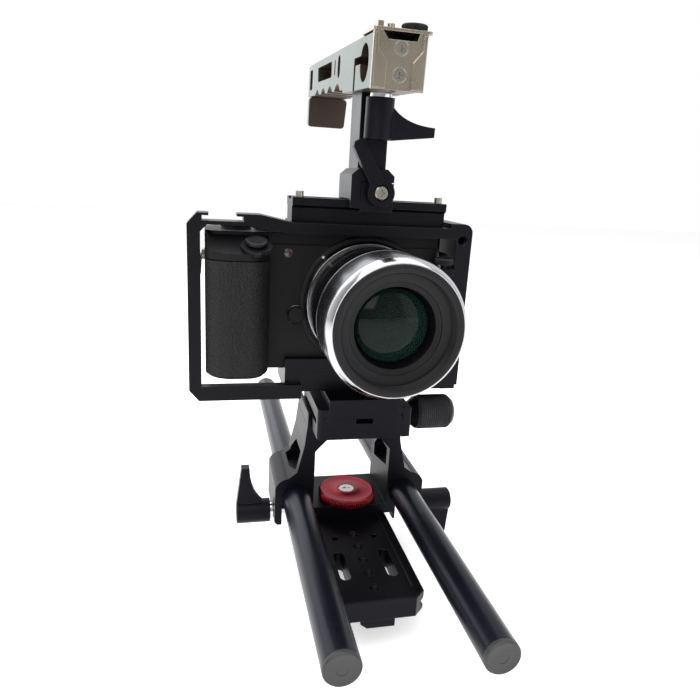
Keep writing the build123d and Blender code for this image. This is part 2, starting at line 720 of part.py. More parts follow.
with BuildPart() as foot_jaw:
    block(foot_jaw_left + GAP, foot_half, foot_front, rail_front - GAP, foot_bottom,
          foot_bottom + foot_jaw_height - GAP)
    with BuildSketch(side_plane(foot_jaw_left + GAP)):
        lip_low = rail_top - rail_lip - GAP
        with BuildLine():
            Polyline(
                (rail_front - GAP, lip_low), (rail_front + 1.5, lip_low - 1.2),
                (rail_front + 1.5, foot_bottom - 1.6), (foot_front, foot_bottom - 1.6),
                (foot_front, foot_bottom), (rail_front - GAP, foot_bottom), close=True,
            )
        make_face()
    extrude(amount=foot_half - foot_jaw_left - GAP)
    with Locations(Plane(origin=(lever_pivot_x, foot_front, lever_pivot_z), z_dir=(0, -1, 0))):
        Cylinder(1.9 + FIT, 2 * 6, mode=Mode.SUBTRACT)
finish(foot_jaw, "handle_foot_jaw")

lever_y0 = foot_front - lever_gap - lever_thick
lean = radians(29.0)
with BuildPart() as foot_lever:
    lever_plane = Plane(origin=(lever_pivot_x, lever_y0 + lever_thick, lever_pivot_z),
                        x_dir=(-sin(lean), 0, cos(lean)), z_dir=(0, -1, 0))
    with BuildSketch(lever_plane):
        Circle(lever_boss_r)
        with BuildLine():
            Polyline((2, -3.4), (lever_length - 1.5, -2.6), (lever_length, -1.4), (lever_length, 1.6),
                     (lever_length - 1.5, 2.8), (2, 3.4), close=True)
        make_face()
        Circle(1.9 + FIT, mode=Mode.SUBTRACT)
    extrude(amount=lever_thick)
    with BuildSketch(lever_plane.offset(lever_thick)):
        Circle(3.9)
    extrude(amount=-1.4, mode=Mode.SUBTRACT)
finish(foot_lever, "foot_lever")

with BuildPart() as foot_screw:
    screw_plane = Plane(origin=(lever_pivot_x, lever_y0 + 1.4, lever_pivot_z), z_dir=(0, -1, 0))
    with BuildSketch(screw_plane.offset(SEAT)):
        Circle(3.2)
    extrude(amount=1.9)
    chamfer(foot_screw.edges().sort_by(Axis.Y)[:1], 0.5)
    with BuildSketch(screw_plane.offset(0.5)):
        Circle(1.9)
    extrude(amount=-14)
    with BuildSketch(screw_plane.offset(1.92)):
        Rectangle(3.2, 0.7)
        Rectangle(0.7, 3.2)
    extrude(amount=-0.9, mode=Mode.SUBTRACT)
finish(foot_screw, "foot_lever_screw")

# ================================================================ top handle
tilt = radians(handle_tilt)
along = Vector(0, cos(tilt), sin(tilt))
up = Vector(0, -sin(tilt), cos(tilt))
handle_origin = Vector(0, handle_front, handle_bottom)


def handle_side(x=0.0):
    """Sketch plane of the handle's side: x along the handle, y up from its underside."""
    return Plane(origin=handle_origin + Vector(x, 0, 0), x_dir=tuple(along), z_dir=(1, 0, 0))


def handle_top(height, distance=0.0):
    """Sketch plane parallel to the handle's top: x across, y along it."""
    return Plane(origin=handle_origin + up * height + along * distance, x_dir=(1, 0, 0),
                 z_dir=tuple(up))


def handle_face(distance):
    """Sketch plane parallel to the handle's front face: x across, y up, it extrudes forwards."""
    return Plane(origin=handle_origin + along * distance, x_dir=(1, 0, 0), z_dir=tuple(-along))


groove_first = 66.0
groove_pitch = 20.5
groove_r = 9.4
tail_l = 153.0
with BuildPart() as handle:
    with BuildSketch(handle_side(-handle_half)):
        with BuildLine():
            Polyline(
                (face_plate + SEAT / 2, SEAT), (57, SEAT), (58, 1.6), (tail_l, 2.4),
                (handle_length, 2.4), (handle_length, handle_height - 2), (handle_length - 2, handle_height),
                (face_plate + SEAT / 2, handle_height), close=True,
            )
        make_face()
        with Locations((bore_l, bore_h)):
            Circle(rod_r + FIT, mode=Mode.SUBTRACT)
        # the slit that lets the clamp ear close on a rod
        with Locations(((bore_l + 31.5) / 2 + slit / 2, bore_h + slit / 2)):
            Rectangle(31.5 - bore_l + slit, slit, mode=Mode.SUBTRACT)
        with Locations((31.5 + slit / 2, bore_h / 2)):
            Rectangle(slit, bore_h + 2 * slit, mode=Mode.SUBTRACT)
        for i in range(4):
            with Locations((groove_first + 6 + i * groove_pitch, -4.4)):
                Circle(groove_r, mode=Mode.SUBTRACT)
        # windows through the grip
        with BuildLine():
            FilletPolyline((89, 9.2), (132, 9.2), (133.5, 17), (90, 17), radius=1.6, close=True)
        make_face(mode=Mode.SUBTRACT)
        with Locations((80.5, 13.2)):
            SlotOverall(7.6, 2.4, rotation=90, mode=Mode.SUBTRACT)
        with Locations((70, 13)):
            SlotOverall(10.5, 6, rotation=90, mode=Mode.SUBTRACT)
        with BuildLine():
            FilletPolyline((153, 6), (162.5, 6), (162.5, 17.5), (153, 17.5), radius=1.6, close=True)
        make_face(mode=Mode.SUBTRACT)
    extrude(amount=2 * handle_half)
    long_edges = handle.edges().filter_by(lambda e: e.length > 120)
    fillet(long_edges.sort_by(lambda e: e.center().Z)[-2:], 1.6)
    # the clamp stud's hole, clear in the ear and tapped above the slit
    with BuildSketch(handle_top(-1, handle_stud_l)):
        Circle(clamp_screw_r + FIT)
    extrude(amount=18.5, mode=Mode.SUBTRACT)
    # recess at the front of the top, and tapped holes along it
    with BuildSketch(handle_face(0)):
        with BuildLine():
            Polyline((-7.6, handle_height + 1), (-7.6, handle_height - 0.4), (-5.2, handle_height - 3.2),
                     (6.6, handle_height - 3.2), (7.8, handle_height - 0.4), (7.8, handle_height + 1),
                     close=True)
        make_face()
    extrude(amount=-21, mode=Mode.SUBTRACT)
    with BuildSketch(handle_top(handle_height)):
        with Locations(*[(0, d) for d in (48, 62, 76, 90, 104, 118, 132)]):
            Circle(2.6)
    extrude(amount=-3.6, mode=Mode.SUBTRACT)
    with BuildSketch(handle_face(0)):
        with Locations((0.4, 15.4), (0.4, 5.4)):
            Circle(1.5)
    extrude(amount=-10.0, mode=Mode.SUBTRACT)
finish(handle, "top_handle")

with BuildPart() as tail:
    with BuildSketch(handle_face(handle_length)):
        with BuildLine():
            FilletPolyline(
                (-handle_half, -15.5), (handle_half + 1.2, -15.5), (handle_half + 2.4, 2.3),
                (-handle_half, 2.3), radius=2.2, close=True,
            )
        make_face()
    extrude(amount=5.0)
finish(tail, "handle_tail")

with BuildPart() as face:
    with BuildSketch(handle_face(face_plate)):
        with BuildLine():
            Polyline(
                (-handle_half, -0.4), (handle_half, -0.4), (handle_half, handle_height),
                (7.8, handle_height), (6.8, handle_height - 3.0), (-5.4, handle_height - 3.0),
                (-7.6, handle_height), (-handle_half, handle_height), close=True,
            )
        make_face()
    extrude(amount=1.8)
    # raised ribs either side of the screws
    for s in (-1, 1):
        with BuildSketch(handle_face(face_plate - 1.8)):
            with BuildLine():
                Polyline(
                    (s * (handle_half - 0.5), 0.2), (s * 5.6, 0.2), (s * 5.6, 10.2), (s * 9.4, 14.8),
                    (s * 9.6, 20.4), (s * (handle_half - 0.5), 20.4), close=True,
                )
            make_face()
        extrude(amount=1.2)
    with Locations(*[handle_face(face_plate - 1.8) * Pos(0.4, h, 0) for h in (15.4, 5.4)]):
        CounterSinkHole(1.5 + FIT, 2.9, depth=10)
finish(face, "handle_face_plate")

with BuildPart() as face_screws:
    for h in (15.4, 5.4):
        head_plane = Plane(handle_face(face_plate - 1.75) * Pos(0.4, h, 0))
        with BuildSketch(head_plane):
            Circle(2.75)
        extrude(amount=-1.25, taper=45)
        with BuildSketch(head_plane.offset(-1.0)):
            Circle(1.4)
        extrude(amount=-face_screw_reach)
        with BuildSketch(head_plane):
            Rectangle(2.9, 0.6)
            Rectangle(0.6, 2.9)
        extrude(amount=-0.8, mode=Mode.SUBTRACT)
finish(face_screws, "face_screws")

with BuildPart() as shoe:
    with BuildSketch(handle_top(handle_height + SEAT, 1.0)):
        with Locations((0.8, 10.5)):
            RectangleRounded(24.4, 21, 1.2)
    extrude(amount=1.2)
    with BuildSketch(handle_top(handle_height + SEAT, 1.0)):
        with Locations((-3.7, 4.0)):
            Circle(1.5)
    extrude(amount=3.0)
    with BuildSketch(handle_top(handle_height + SEAT, 1.0)):
        with Locations((-8.6, 3.6)):
            Rectangle(2.4, 5.2)
    extrude(amount=3.4)
    with BuildSketch(handle_top(handle_height, 1.0)):
        with Locations((7.6, 8.5)):
            Circle(1.5 + FIT)
    extrude(amount=4, mode=Mode.SUBTRACT)
finish(shoe, "shoe_plate")

with BuildPart() as shoe_knob:
    with BuildSketch(handle_top(handle_height + 1.2 + PLAY, 1.0)):
        with Locations((7.6, 8.5)):
            Circle(5.6)
    extrude(amount=3.0)
    with BuildSketch(handle_top(handle_height + 1.2 + PLAY + 0.01, 1.0)):
        with Locations((7.6, 8.5)):
            Circle(1.5)
    extrude(amount=-1.45)
finish(shoe_knob, "shoe_lock_knob")

stud_origin = tuple(handle_origin + along * handle_stud_l)
make_wing_lever(stud_origin, tuple(-up), (1, 0, 0), "handle_lever")
make_stud(stud_origin, tuple(-up), 17.0, "handle_lever_stud")


# ================================================================ camera body
def grip_outline(inset):
    """Plan of the grip: a rounded front that runs back into the body."""
    left = body_left + inset
    right = body_left + grip_width - inset
    nose = body_front - grip_reach + inset
    root = body_front + 3
    Line((left, root), (left, nose + 11))
    ThreePointArc((left, nose + 11), (left + 3.4, nose + 3.4), (left + 11, nose))
    Line((left + 11, nose), (right - 10, nose))
    Spline((right - 10, nose), (right - 1.5, nose + 6), (right + 1.2, root),
           tangents=((1, 0), (0.1, 1)))
    Line((right + 1.2, root), (left, root))


with BuildPart() as front_shell:
    with BuildSketch(Plane.XY.offset(body_bottom)):
        with Locations(((body_left + body_right) / 2, body_front + shell_split / 2)):
            Rectangle(body_right - body_left, shell_split)
    extrude(amount=body_height - 5.5)
    fillet(front_shell.edges().filter_by(Axis.Z).group_by(Axis.Y)[0], body_corner)
    with BuildSketch(Plane.XY.offset(body_bottom)):
        with BuildLine():
            grip_outline(1.0)
        make_face()
    extrude(amount=body_height - grip_top_drop - 3)
    # hollow for the electronics and the battery
    block(body_left + body_wall + 1, body_right - body_wall, body_front + body_wall,
          body_front + shell_split + 1, body_bottom + body_wall + 1, body_top, Mode.SUBTRACT)
    block(body_left + 4.5, body_left + grip_width - 5, body_front - grip_reach + 5,
          body_front + 5, body_bottom - 1, body_top - grip_top_drop - 6, Mode.SUBTRACT)
    block(body_left + 4.5, body_left + grip_width - 5, body_front + 4, body_front + shell_split + 1,
          body_bottom - 1, body_bottom + body_wall + 2, Mode.SUBTRACT)
    # throat behind the lens mount
    with BuildSketch(front_plane(body_front + 10, lens_x, lens_z)):
        Circle(23.0)
    extrude(amount=12, mode=Mode.SUBTRACT)
    # seat of the release button
    with BuildSketch(front_plane(body_front - 1, lens_x - 35.0, lens_z - 6)):
        Circle(4.0)
    extrude(amount=-4, mode=Mode.SUBTRACT)
finish(front_shell, "camera_front_shell")

with BuildPart() as rear_shell:
    rear_front = body_front + shell_split + SEAT
    with BuildSketch(Plane.XY.offset(body_bottom)):
        with Locations(((body_left + body_right) / 2, (rear_front + body_back) / 2)):
            Rectangle(body_right - body_left, body_back - rear_front)
    extrude(amount=body_height - 5.5)
    fillet(rear_shell.edges().filter_by(Axis.Z).group_by(Axis.Y)[-1], body_corner)
    block(body_left + body_wall + 1, body_right - body_wall, rear_front - 1, body_back - body_wall,
          body_bottom + body_wall + 1, body_top, Mode.SUBTRACT)
    # mouth of the battery bay, and the wells of the rear controls
    block(body_left + 4.5, body_left + grip_width - 5, rear_front - 1, body_back - 6,
          body_bottom - 1, body_bottom + 5, Mode.SUBTRACT)
    with BuildSketch(Plane(origin=(-58, body_back + 1, 124), z_dir=(0, 1, 0))):
        Circle(11.6)
    extrude(amount=-2.4, mode=Mode.SUBTRACT)
finish(rear_shell, "camera_rear_shell")

shutter_x, shutter_y = -54.0, 9.5
deck_slope = grip_top_drop / (grip_reach + 4)
deck_z = body_top - deck_slope * (body_front + 4 - shutter_y)


def deck_plane(height):
    """Plane parallel to the sloped deck over the grip, through the shutter button's axis."""
    deck = Plane(origin=(shutter_x, shutter_y, deck_z), x_dir=(1, 0, 0), z_dir=(0, -deck_slope, 1))
    return deck.offset(height)


with BuildPart() as top_cover:
    cover_low = body_top - 5.5 + SEAT
    with BuildSketch(Plane.XY.offset(cover_low)):
        with Locations(((body_left + body_right) / 2, (body_front + body_back) / 2)):
            RectangleRounded(body_right - body_left, body_depth, body_corner)
    extrude(amount=body_top - cover_low)
    # the deck over the grip slopes down to the shutter
    with BuildSketch(side_plane(body_left)):
        with BuildLine():
            Polyline(
                (body_front - grip_reach, body_top - grip_top_drop - 2.9),
                (body_front - grip_reach, body_top - grip_top_drop), (body_front + 4, body_top),
                (body_front + 4, body_top - grip_top_drop - 2.9), close=True,
            )
        make_face()
    extrude(amount=grip_width)
    with BuildSketch(Plane.XY.offset(body_bottom)):
        with BuildLine():
            grip_outline(0.2)
        make_face()
        with Locations(((body_left + body_right) / 2, body_front + body_depth / 2 + 0.5)):
            Rectangle(body_right - body_left, body_depth - 1)
    extrude(amount=body_height + 10, mode=Mode.INTERSECT)
    block(body_left - 1, body_left + grip_width + 2, body_front - SEAT, body_front + 5,
          body_top - grip_top_drop - 4, cover_low, Mode.SUBTRACT)
    # seats of the dials, the shutter and the covered accessory foot
    with Locations((-62, 38, body_top), (-46, 37, body_top)):
        Cylinder(7.6, 2 * 1.6, mode=Mode.SUBTRACT)
    with Locations(deck_plane(0)):
        Cylinder(5.2, 2 * 2.6, mode=Mode.SUBTRACT)
finish(top_cover, "camera_top_cover")

with BuildPart() as grip:
    with BuildSketch(Plane.XY.offset(body_bottom + 1.2)):
        with BuildLine():
            grip_outline(0.0)
        make_face()
        with BuildLine():
            grip_outline(0.8)
        make_face(mode=Mode.SUBTRACT)
        with Locations((body_left + grip_width / 2, body_front + 5)):
            Rectangle(grip_width + 10, 9.9, mode=Mode.SUBTRACT)
    extrude(amount=body_height - grip_top_drop - 4.6)
finish(grip, "grip_leather")

with BuildPart() as power_ring:
    with BuildSketch(deck_plane(-2.4)):
        Circle(4.9)
        Circle(3.6, mode=Mode.SUBTRACT)
    extrude(amount=4.0)
    with BuildSketch(deck_plane(GAP)):
        Circle(7.0)
        Circle(3.6, mode=Mode.SUBTRACT)
        with Locations((0, -7.0)):
            RectangleRounded(3.4, 4.0, 0.8)
    extrude(amount=1.5)
finish(power_ring, "power_switch")

with BuildPart() as shutter_button:
    with BuildSketch(deck_plane(-1.4)):
        Circle(3.25)
    extrude(amount=5.0)
    with BuildSketch(deck_plane(2.85)):
        Circle(5.2)
    extrude(amount=1.6)
    rim = shutter_button.edges().filter_by(GeomType.CIRCLE).sort_by(Axis.Z)[-1:]
    fillet(rim, 0.7)
finish(shutter_button, "shutter_button")


def make_top_dial(x, y, radius, height, name):
    with BuildPart() as dial:
        with BuildSketch(Plane.XY.offset(body_top - 1.6 + GAP)):
            with Locations((x, y)):
                Circle(radius)
        extrude(amount=height)
        chamfer(dial.edges().group_by(Axis.Z)[-1], 0.5)
    finish(dial, name)


make_top_dial(-62, 38, 7.2, 4.6, "control_dial")
make_top_dial(-46, 37, 7.2, 4.2, "mode_dial")

with BuildPart() as rear_wheel:
    with BuildSketch(Plane(origin=(-58, body_back - 1.1, 124), z_dir=(0, 1, 0))):
        Circle(11.2)
        Circle(4.4, mode=Mode.SUBTRACT)
    extrude(amount=2.2)
finish(rear_wheel, "rear_wheel")

with BuildPart() as set_button:
    with BuildSketch(Plane(origin=(-58, body_back - 0.9, 124), z_dir=(0, 1, 0))):
        Circle(4.0)
    extrude(amount=2.4)
finish(set_button, "set_button")

lcd_left, lcd_right = -37.0, 38.0
lcd_low, lcd_high = body_bottom + 3.5, body_bottom + 49.5
with BuildPart() as lcd:
    with BuildSketch(Plane(origin=((lcd_left + lcd_right) / 2, body_back + GAP, (lcd_low + lcd_high) / 2),
                           x_dir=(1, 0, 0), z_dir=(0, 1, 0))):
        RectangleRounded(lcd_right - lcd_left, lcd_high - lcd_low, 2.0)
    extrude(amount=4.0)
    with Locations(Plane(origin=((lcd_left + lcd_right) / 2, body_back + GAP + 2, lcd_high + 0.4),
                         z_dir=(1, 0, 0))):
        Cylinder(1.4, 46)
finish(lcd, "tilt_screen")

with BuildPart() as finder:
    with BuildSketch(Plane(origin=(22.5, body_back, body_top - 8.0), x_dir=(1, 0, 0), z_dir=(0, 1, 0))):
        RectangleRounded(30, 13.5, 4.0)
    extrude(amount=6.5)
    with BuildSketch(Plane(origin=(22.5, body_back + 6.5, body_top - 8.0), x_dir=(1, 0, 0),
                           z_dir=(0, 1, 0))):
        RectangleRounded(17, 8.5, 2.0)
    extrude(amount=-4.5, mode=Mode.SUBTRACT)
    fillet(finder.faces().sort_by(Axis.Y)[-1].outer_wire().edges(), 1.4)
finish(finder, "viewfinder_cup")

door_left, door_right = body_left + 4.5 + PLAY, body_left + grip_width - 5 - PLAY
door_front, door_back = body_front - grip_reach + 5 + PLAY, body_back - 6 - PLAY
with BuildPart() as door:
    block(door_left, door_right, door_front, door_back, body_bottom - 0.2, body_bottom + 1.8)
finish(door, "battery_door")

with BuildPart() as battery:
    block(door_left + 0.4, door_right - 0.4, door_front + 1, body_front + 3.5, body_bottom + 2.4,
          body_bottom + 47)
finish(battery, "battery")

with BuildPart() as sensor:
    with BuildSketch(front_plane(body_front + 21.2, lens_x, lens_z)):
        Rectangle(36.0, 24.0)
    extrude(amount=2.7)
    with BuildSketch(front_plane(body_front + 22.6, lens_x, lens_z)):
        Rectangle(52, 44)
    extrude(amount=1.58)
finish(sensor, "image_sensor")

with BuildPart() as lugs:
    for x, d in ((body_left, -1), (body_right, 1)):
        with BuildSketch(side_plane(x, body_front + 10, body_top - 12)):
            Circle(2.8)
            Circle(1.4, mode=Mode.SUBTRACT)
        extrude(amount=d * 1.5)
finish(lugs, "strap_eyelets")

with BuildPart() as release:
    with BuildSketch(front_plane(body_front + 2.8, lens_x - 35.0, lens_z - 6)):
        Circle(4.0 - FIT)
    extrude(amount=5.2)
    fillet(release.edges().group_by(Axis.Y)[0], 0.6)
finish(release, "lens_release_button")

# ================================================================ lens mount and lens
with BuildPart() as mount:
    with BuildSketch(front_plane(body_front - SEAT, lens_x, lens_z)):
        Circle(mount_r)
        Circle(23.0, mode=Mode.SUBTRACT)
    extrude(amount=mount_proud - SEAT)
finish(mount, "mount_ring")


def ring_of_revolution(points):
    """Revolve a closed outline of (distance in front of the body face, radius) about the lens axis."""
    lens_plane = Plane(origin=(lens_x, body_front, lens_z), x_dir=(0, -1, 0), z_dir=(-1, 0, 0))
    with BuildSketch(lens_plane) as outline:
        with BuildLine():
            Polyline(*points, close=True)
        make_face()
    revolve(outline.sketch, axis=Axis((lens_x, body_front, lens_z), (0, -1, 0)))


rear_end = mount_proud + SEAT
barrel_end = rear_end + barrel_length
focus_end = barrel_end + GAP + focus_length
front_start = focus_end + GAP
lens_front = lens_length
core_r = 26.0
with BuildPart() as barrel:
    ring_of_revolution([
        (-6.0, 19.0), (-6.0, 22.4), (mount_proud, 22.4), (rear_end, 22.4), (rear_end, barrel_r - 1.2),
        (rear_end + 1.2, barrel_r), (barrel_end - 1.4, barrel_r), (barrel_end, barrel_r - 0.6),
        (barrel_end, core_r), (lens_front - 8, core_r), (lens_front - 8, glass_r + 1.6),
        (lens_front - 12.4, glass_r + SEAT), (lens_front - 17, glass_r + SEAT),
        (lens_front - 17, glass_r + 2.8), (rear_end + 4, glass_r + 2.8),
    ])
finish(barrel, "lens_barrel")

with BuildPart() as focus_ring:
    ring_of_revolution([
        (barrel_end + GAP, core_r + FIT), (barrel_end + GAP, focus_r - 0.5),
        (barrel_end + GAP + 0.6, focus_r), (focus_end - 0.6, focus_r),
        (focus_end, focus_r - 0.5), (focus_end, core_r + FIT),
    ])
finish(focus_ring, "focus_ring")

with BuildPart() as front_ring:
    ring_of_revolution([
        (front_start, core_r + 0.01), (front_start, front_r - 0.5), (front_start + 0.6, front_r),
        (lens_front - 5.2, front_r), (lens_front - 0.6, front_lip_r + 0.4),
        (lens_front - 0.6, front_lip_r), (lens_front - 7.9, front_lip_r - 0.6),
        (lens_front - 7.9, core_r + 0.01),
    ])
finish(front_ring, "lens_front_ring")

with BuildPart() as bezel:
    ring_of_revolution([
        (lens_front - 7.8, front_lip_r - 0.62), (lens_front, front_lip_r - 0.2), (lens_front, filter_r + 1.4),
        (lens_front - 0.8, filter_r), (lens_front - 4.4, filter_r), (lens_front - 4.4, filter_r - 1.0),
        (lens_front - 7.4, glass_r + 2.4), (lens_front - 7.8, glass_r + 2.4),
    ])
finish(bezel, "filter_bezel")

with BuildPart() as front_glass:
    ring_of_revolution([
        (lens_front - 16, 0), (lens_front - 9.5, 0), (lens_front - 9.9, 6), (lens_front - 11.0, 11),
        (lens_front - 12.8, glass_r), (lens_front - 15.6, glass_r), (lens_front - 16, glass_r),
    ])
finish(front_glass, "front_element")

with BuildPart() as inner_glass:
    ring_of_revolution([(24, 0), (27, 0), (27, glass_r + 2.7), (24, glass_r + 2.7)])
    ring_of_revolution([(9, 0), (12, 0), (12, glass_r + 2.7), (9, glass_r + 2.7)])
finish(inner_glass, "inner_elements")
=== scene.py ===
"""The looks of the cinema camera rig: materials for the CAD nodes, and the turned, knurled,
threaded and moulded pieces that stand for plain CAD nodes. Metres, in the CAD frame."""

import json
from math import cos, pi, radians, sin, tau

import bmesh
import bpy
from mathutils import Matrix, Vector


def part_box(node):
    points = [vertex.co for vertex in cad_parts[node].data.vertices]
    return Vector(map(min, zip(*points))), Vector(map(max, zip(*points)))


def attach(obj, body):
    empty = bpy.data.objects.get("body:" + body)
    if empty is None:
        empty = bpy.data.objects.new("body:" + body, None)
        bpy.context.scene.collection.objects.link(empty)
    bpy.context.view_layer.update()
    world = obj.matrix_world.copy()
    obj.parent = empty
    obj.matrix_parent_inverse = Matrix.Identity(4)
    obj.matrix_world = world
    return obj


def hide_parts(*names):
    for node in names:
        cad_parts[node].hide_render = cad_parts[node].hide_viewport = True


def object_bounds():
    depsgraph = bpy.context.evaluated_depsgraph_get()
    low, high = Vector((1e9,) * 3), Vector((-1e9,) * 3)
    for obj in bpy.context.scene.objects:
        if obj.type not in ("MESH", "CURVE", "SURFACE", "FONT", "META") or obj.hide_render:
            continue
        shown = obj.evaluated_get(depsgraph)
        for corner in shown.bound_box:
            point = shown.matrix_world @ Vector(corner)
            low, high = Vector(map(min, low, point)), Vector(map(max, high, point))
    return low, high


MM = 0.001
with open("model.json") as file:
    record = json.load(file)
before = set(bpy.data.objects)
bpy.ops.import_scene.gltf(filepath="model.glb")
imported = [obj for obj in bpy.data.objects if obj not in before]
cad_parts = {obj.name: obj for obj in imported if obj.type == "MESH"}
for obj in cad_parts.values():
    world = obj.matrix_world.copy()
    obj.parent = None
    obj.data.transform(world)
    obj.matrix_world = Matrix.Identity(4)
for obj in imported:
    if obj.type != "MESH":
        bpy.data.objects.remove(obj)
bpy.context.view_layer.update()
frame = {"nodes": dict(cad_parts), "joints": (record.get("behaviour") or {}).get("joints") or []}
nodes = frame["nodes"]

# ---------------------------------------------------------------- sizes and places, in mm
TAPPED_R = 2.6                                # bore of a quarter-inch tapped hole
CLAMP_SCREW_ALONG = 26.0                      # the handle's own corner to its clamp stud
CLAMP_SCREW_DROP = 2.0
FOCUS_LAMP = (-38.0, 154.1)                   # x and z on the camera's front
RELEASE_BUTTON = (-33.5, 124.0)
MOUNT_DOT_OUT = 22.6                          # left of and above the lens axis
REAR_BUTTONS = ((-45.5, 146.5), (-66.5, 146.5), (-45.5, 104.5), (-66.5, 104.5))
THUMB_REST_LOW, THUMB_REST_HIGH = (-75.0, 150.4), (-50.0, 156.6)
EYEPIECE_LOW, EYEPIECE_HIGH = (15.4, 54.2, 152.2), (29.6, 54.6, 158.8)
CAGE_SIDE_Y, CAGE_SIDE_HOLES = 30.0, (112, 124, 136)
CAGE_POST_Y, CAGE_POST_HOLES = 21.0, (110.0, 145.3)
CAGE_FRONT_HOLE = (47.6, 15.3, 163.3)
PLATE_HOLES, PLATE_HOLE_PITCH, PLATE_FIRST_HOLE = 5, 11, 3
IRIS_BLADES = 7

# ---------------------------------------------------------------- camera
CAMERA_PLACE = (-75.36, -272.99, 190.35)      # mm
CAMERA_YAW = 13.435                           # degrees to the right of +Y
CAMERA_PITCH = -15.631
CAMERA_ROLL = 3.270
CAMERA_LENS = 31.6                            # mm, on a 36 mm sensor


def make_camera():
    data = bpy.data.cameras.new("camera_view")
    data.lens = CAMERA_LENS
    data.sensor_width = 36
    data.clip_start = 0.01
    camera = bpy.data.objects.new("camera_view", data)
    bpy.context.scene.collection.objects.link(camera)
    turn = Matrix.Rotation(radians(-CAMERA_YAW), 3, "Z") @ Matrix.Rotation(radians(90 + CAMERA_PITCH), 3, "X")
    turn = turn @ Matrix.Rotation(radians(CAMERA_ROLL), 3, "Z")
    camera.matrix_world = Matrix.Translation(Vector(CAMERA_PLACE) * MM) @ turn.to_4x4()
    bpy.context.scene.camera = camera


# ---------------------------------------------------------------- materials
def link(tree, start, end):
    tree.links.new(start, end)


def surface(name, colour, metallic=0.0, rough=0.45, grain=2500.0, bump=0.06, blotch=55.0, vary=0.2,
            wear=0.0, wear_colour=(0.45, 0.45, 0.46), coat=0.0, edge=0.35, stretch=(1, 1, 1), specular=0.5):
    """A finish with fine grain, slow colour and gloss changes, rounded edges and rubbed corners."""
    mat = bpy.data.materials.new(name)
    mat.use_nodes = True
    tree = mat.node_tree
    shader = tree.nodes["Principled BSDF"]
    shader.inputs["Metallic"].default_value = metallic
    shader.inputs["Coat Weight"].default_value = coat
    shader.inputs["Coat Roughness"].default_value = 0.12
    shader.inputs["Specular IOR Level"].default_value = specular
    place = tree.nodes.new("ShaderNodeTexCoord")
    scale = tree.nodes.new("ShaderNodeMapping")
    scale.inputs["Scale"].default_value = stretch
    link(tree, place.outputs["Object"], scale.inputs["Vector"])

    slow = tree.nodes.new("ShaderNodeTexNoise")
    slow.inputs["Scale"].default_value = blotch
    slow.inputs["Detail"].default_value = 6.0
    link(tree, place.outputs["Object"], slow.inputs["Vector"])
    tone = tree.nodes.new("ShaderNodeMix")
    tone.data_type = "RGBA"
    tone.inputs["A"].default_value = (*[c * (1 - vary) for c in colour], 1)
    tone.inputs["B"].default_value = (*[min(1, c * (1 + vary)) for c in colour], 1)
    link(tree, slow.outputs["Fac"], tone.inputs["Factor"])

    fine = tree.nodes.new("ShaderNodeTexNoise")
    fine.inputs["Scale"].default_value = grain
    fine.inputs["Detail"].default_value = 3.0
    link(tree, scale.outputs["Vector"], fine.inputs["Vector"])
    gloss = tree.nodes.new("ShaderNodeMapRange")
    gloss.inputs["To Min"].default_value = max(0.03, rough - 0.09)
    gloss.inputs["To Max"].default_value = min(1.0, rough + 0.09)
    blend = tree.nodes.new("ShaderNodeMath")
    blend.operation = "ADD"
    link(tree, slow.outputs["Fac"], blend.inputs[0])
    link(tree, fine.outputs["Fac"], blend.inputs[1])
    half = tree.nodes.new("ShaderNodeMath")
    half.operation = "MULTIPLY"
    half.inputs[1].default_value = 0.5
    link(tree, blend.outputs[0], half.inputs[0])
    link(tree, half.outputs[0], gloss.inputs["Value"])
    link(tree, gloss.outputs["Result"], shader.inputs["Roughness"])

    soft = tree.nodes.new("ShaderNodeBevel")
    soft.samples = 4
    soft.inputs["Radius"].default_value = edge * MM
    relief = tree.nodes.new("ShaderNodeBump")
    relief.inputs["Strength"].default_value = bump
    relief.inputs["Distance"].default_value = 0.1 * MM
    link(tree, fine.outputs["Fac"], relief.inputs["Height"])
    link(tree, soft.outputs["Normal"], relief.inputs["Normal"])
    link(tree, relief.outputs["Normal"], shader.inputs["Normal"])

    colour_out = tone.outputs["Result"]
    if wear:
        # corners, where the rounded normal leaves the flat one, show rubbed metal in patches
        flat = tree.nodes.new("ShaderNodeNewGeometry")
        dot = tree.nodes.new("ShaderNodeVectorMath")
        dot.operation = "DOT_PRODUCT"
        link(tree, soft.outputs["Normal"], dot.inputs[0])
        link(tree, flat.outputs["True Normal"], dot.inputs[1])
        corner = tree.nodes.new("ShaderNodeMapRange")
        corner.inputs["From Min"].default_value = 0.97
        corner.inputs["From Max"].default_value = 0.80
        corner.inputs["To Max"].default_value = wear
        link(tree, dot.outputs["Value"], corner.inputs["Value"])
        patch = tree.nodes.new("ShaderNodeMath")
        patch.operation = "MULTIPLY"
        link(tree, corner.outputs["Result"], patch.inputs[0])
        link(tree, slow.outputs["Fac"], patch.inputs[1])
        rub = tree.nodes.new("ShaderNodeMix")
        rub.data_type = "RGBA"
        rub.inputs["B"].default_value = (*wear_colour, 1)
        link(tree, patch.outputs[0], rub.inputs["Factor"])
        link(tree, colour_out, rub.inputs["A"])
        colour_out = rub.outputs["Result"]
    link(tree, colour_out, shader.inputs["Base Color"])
    return mat


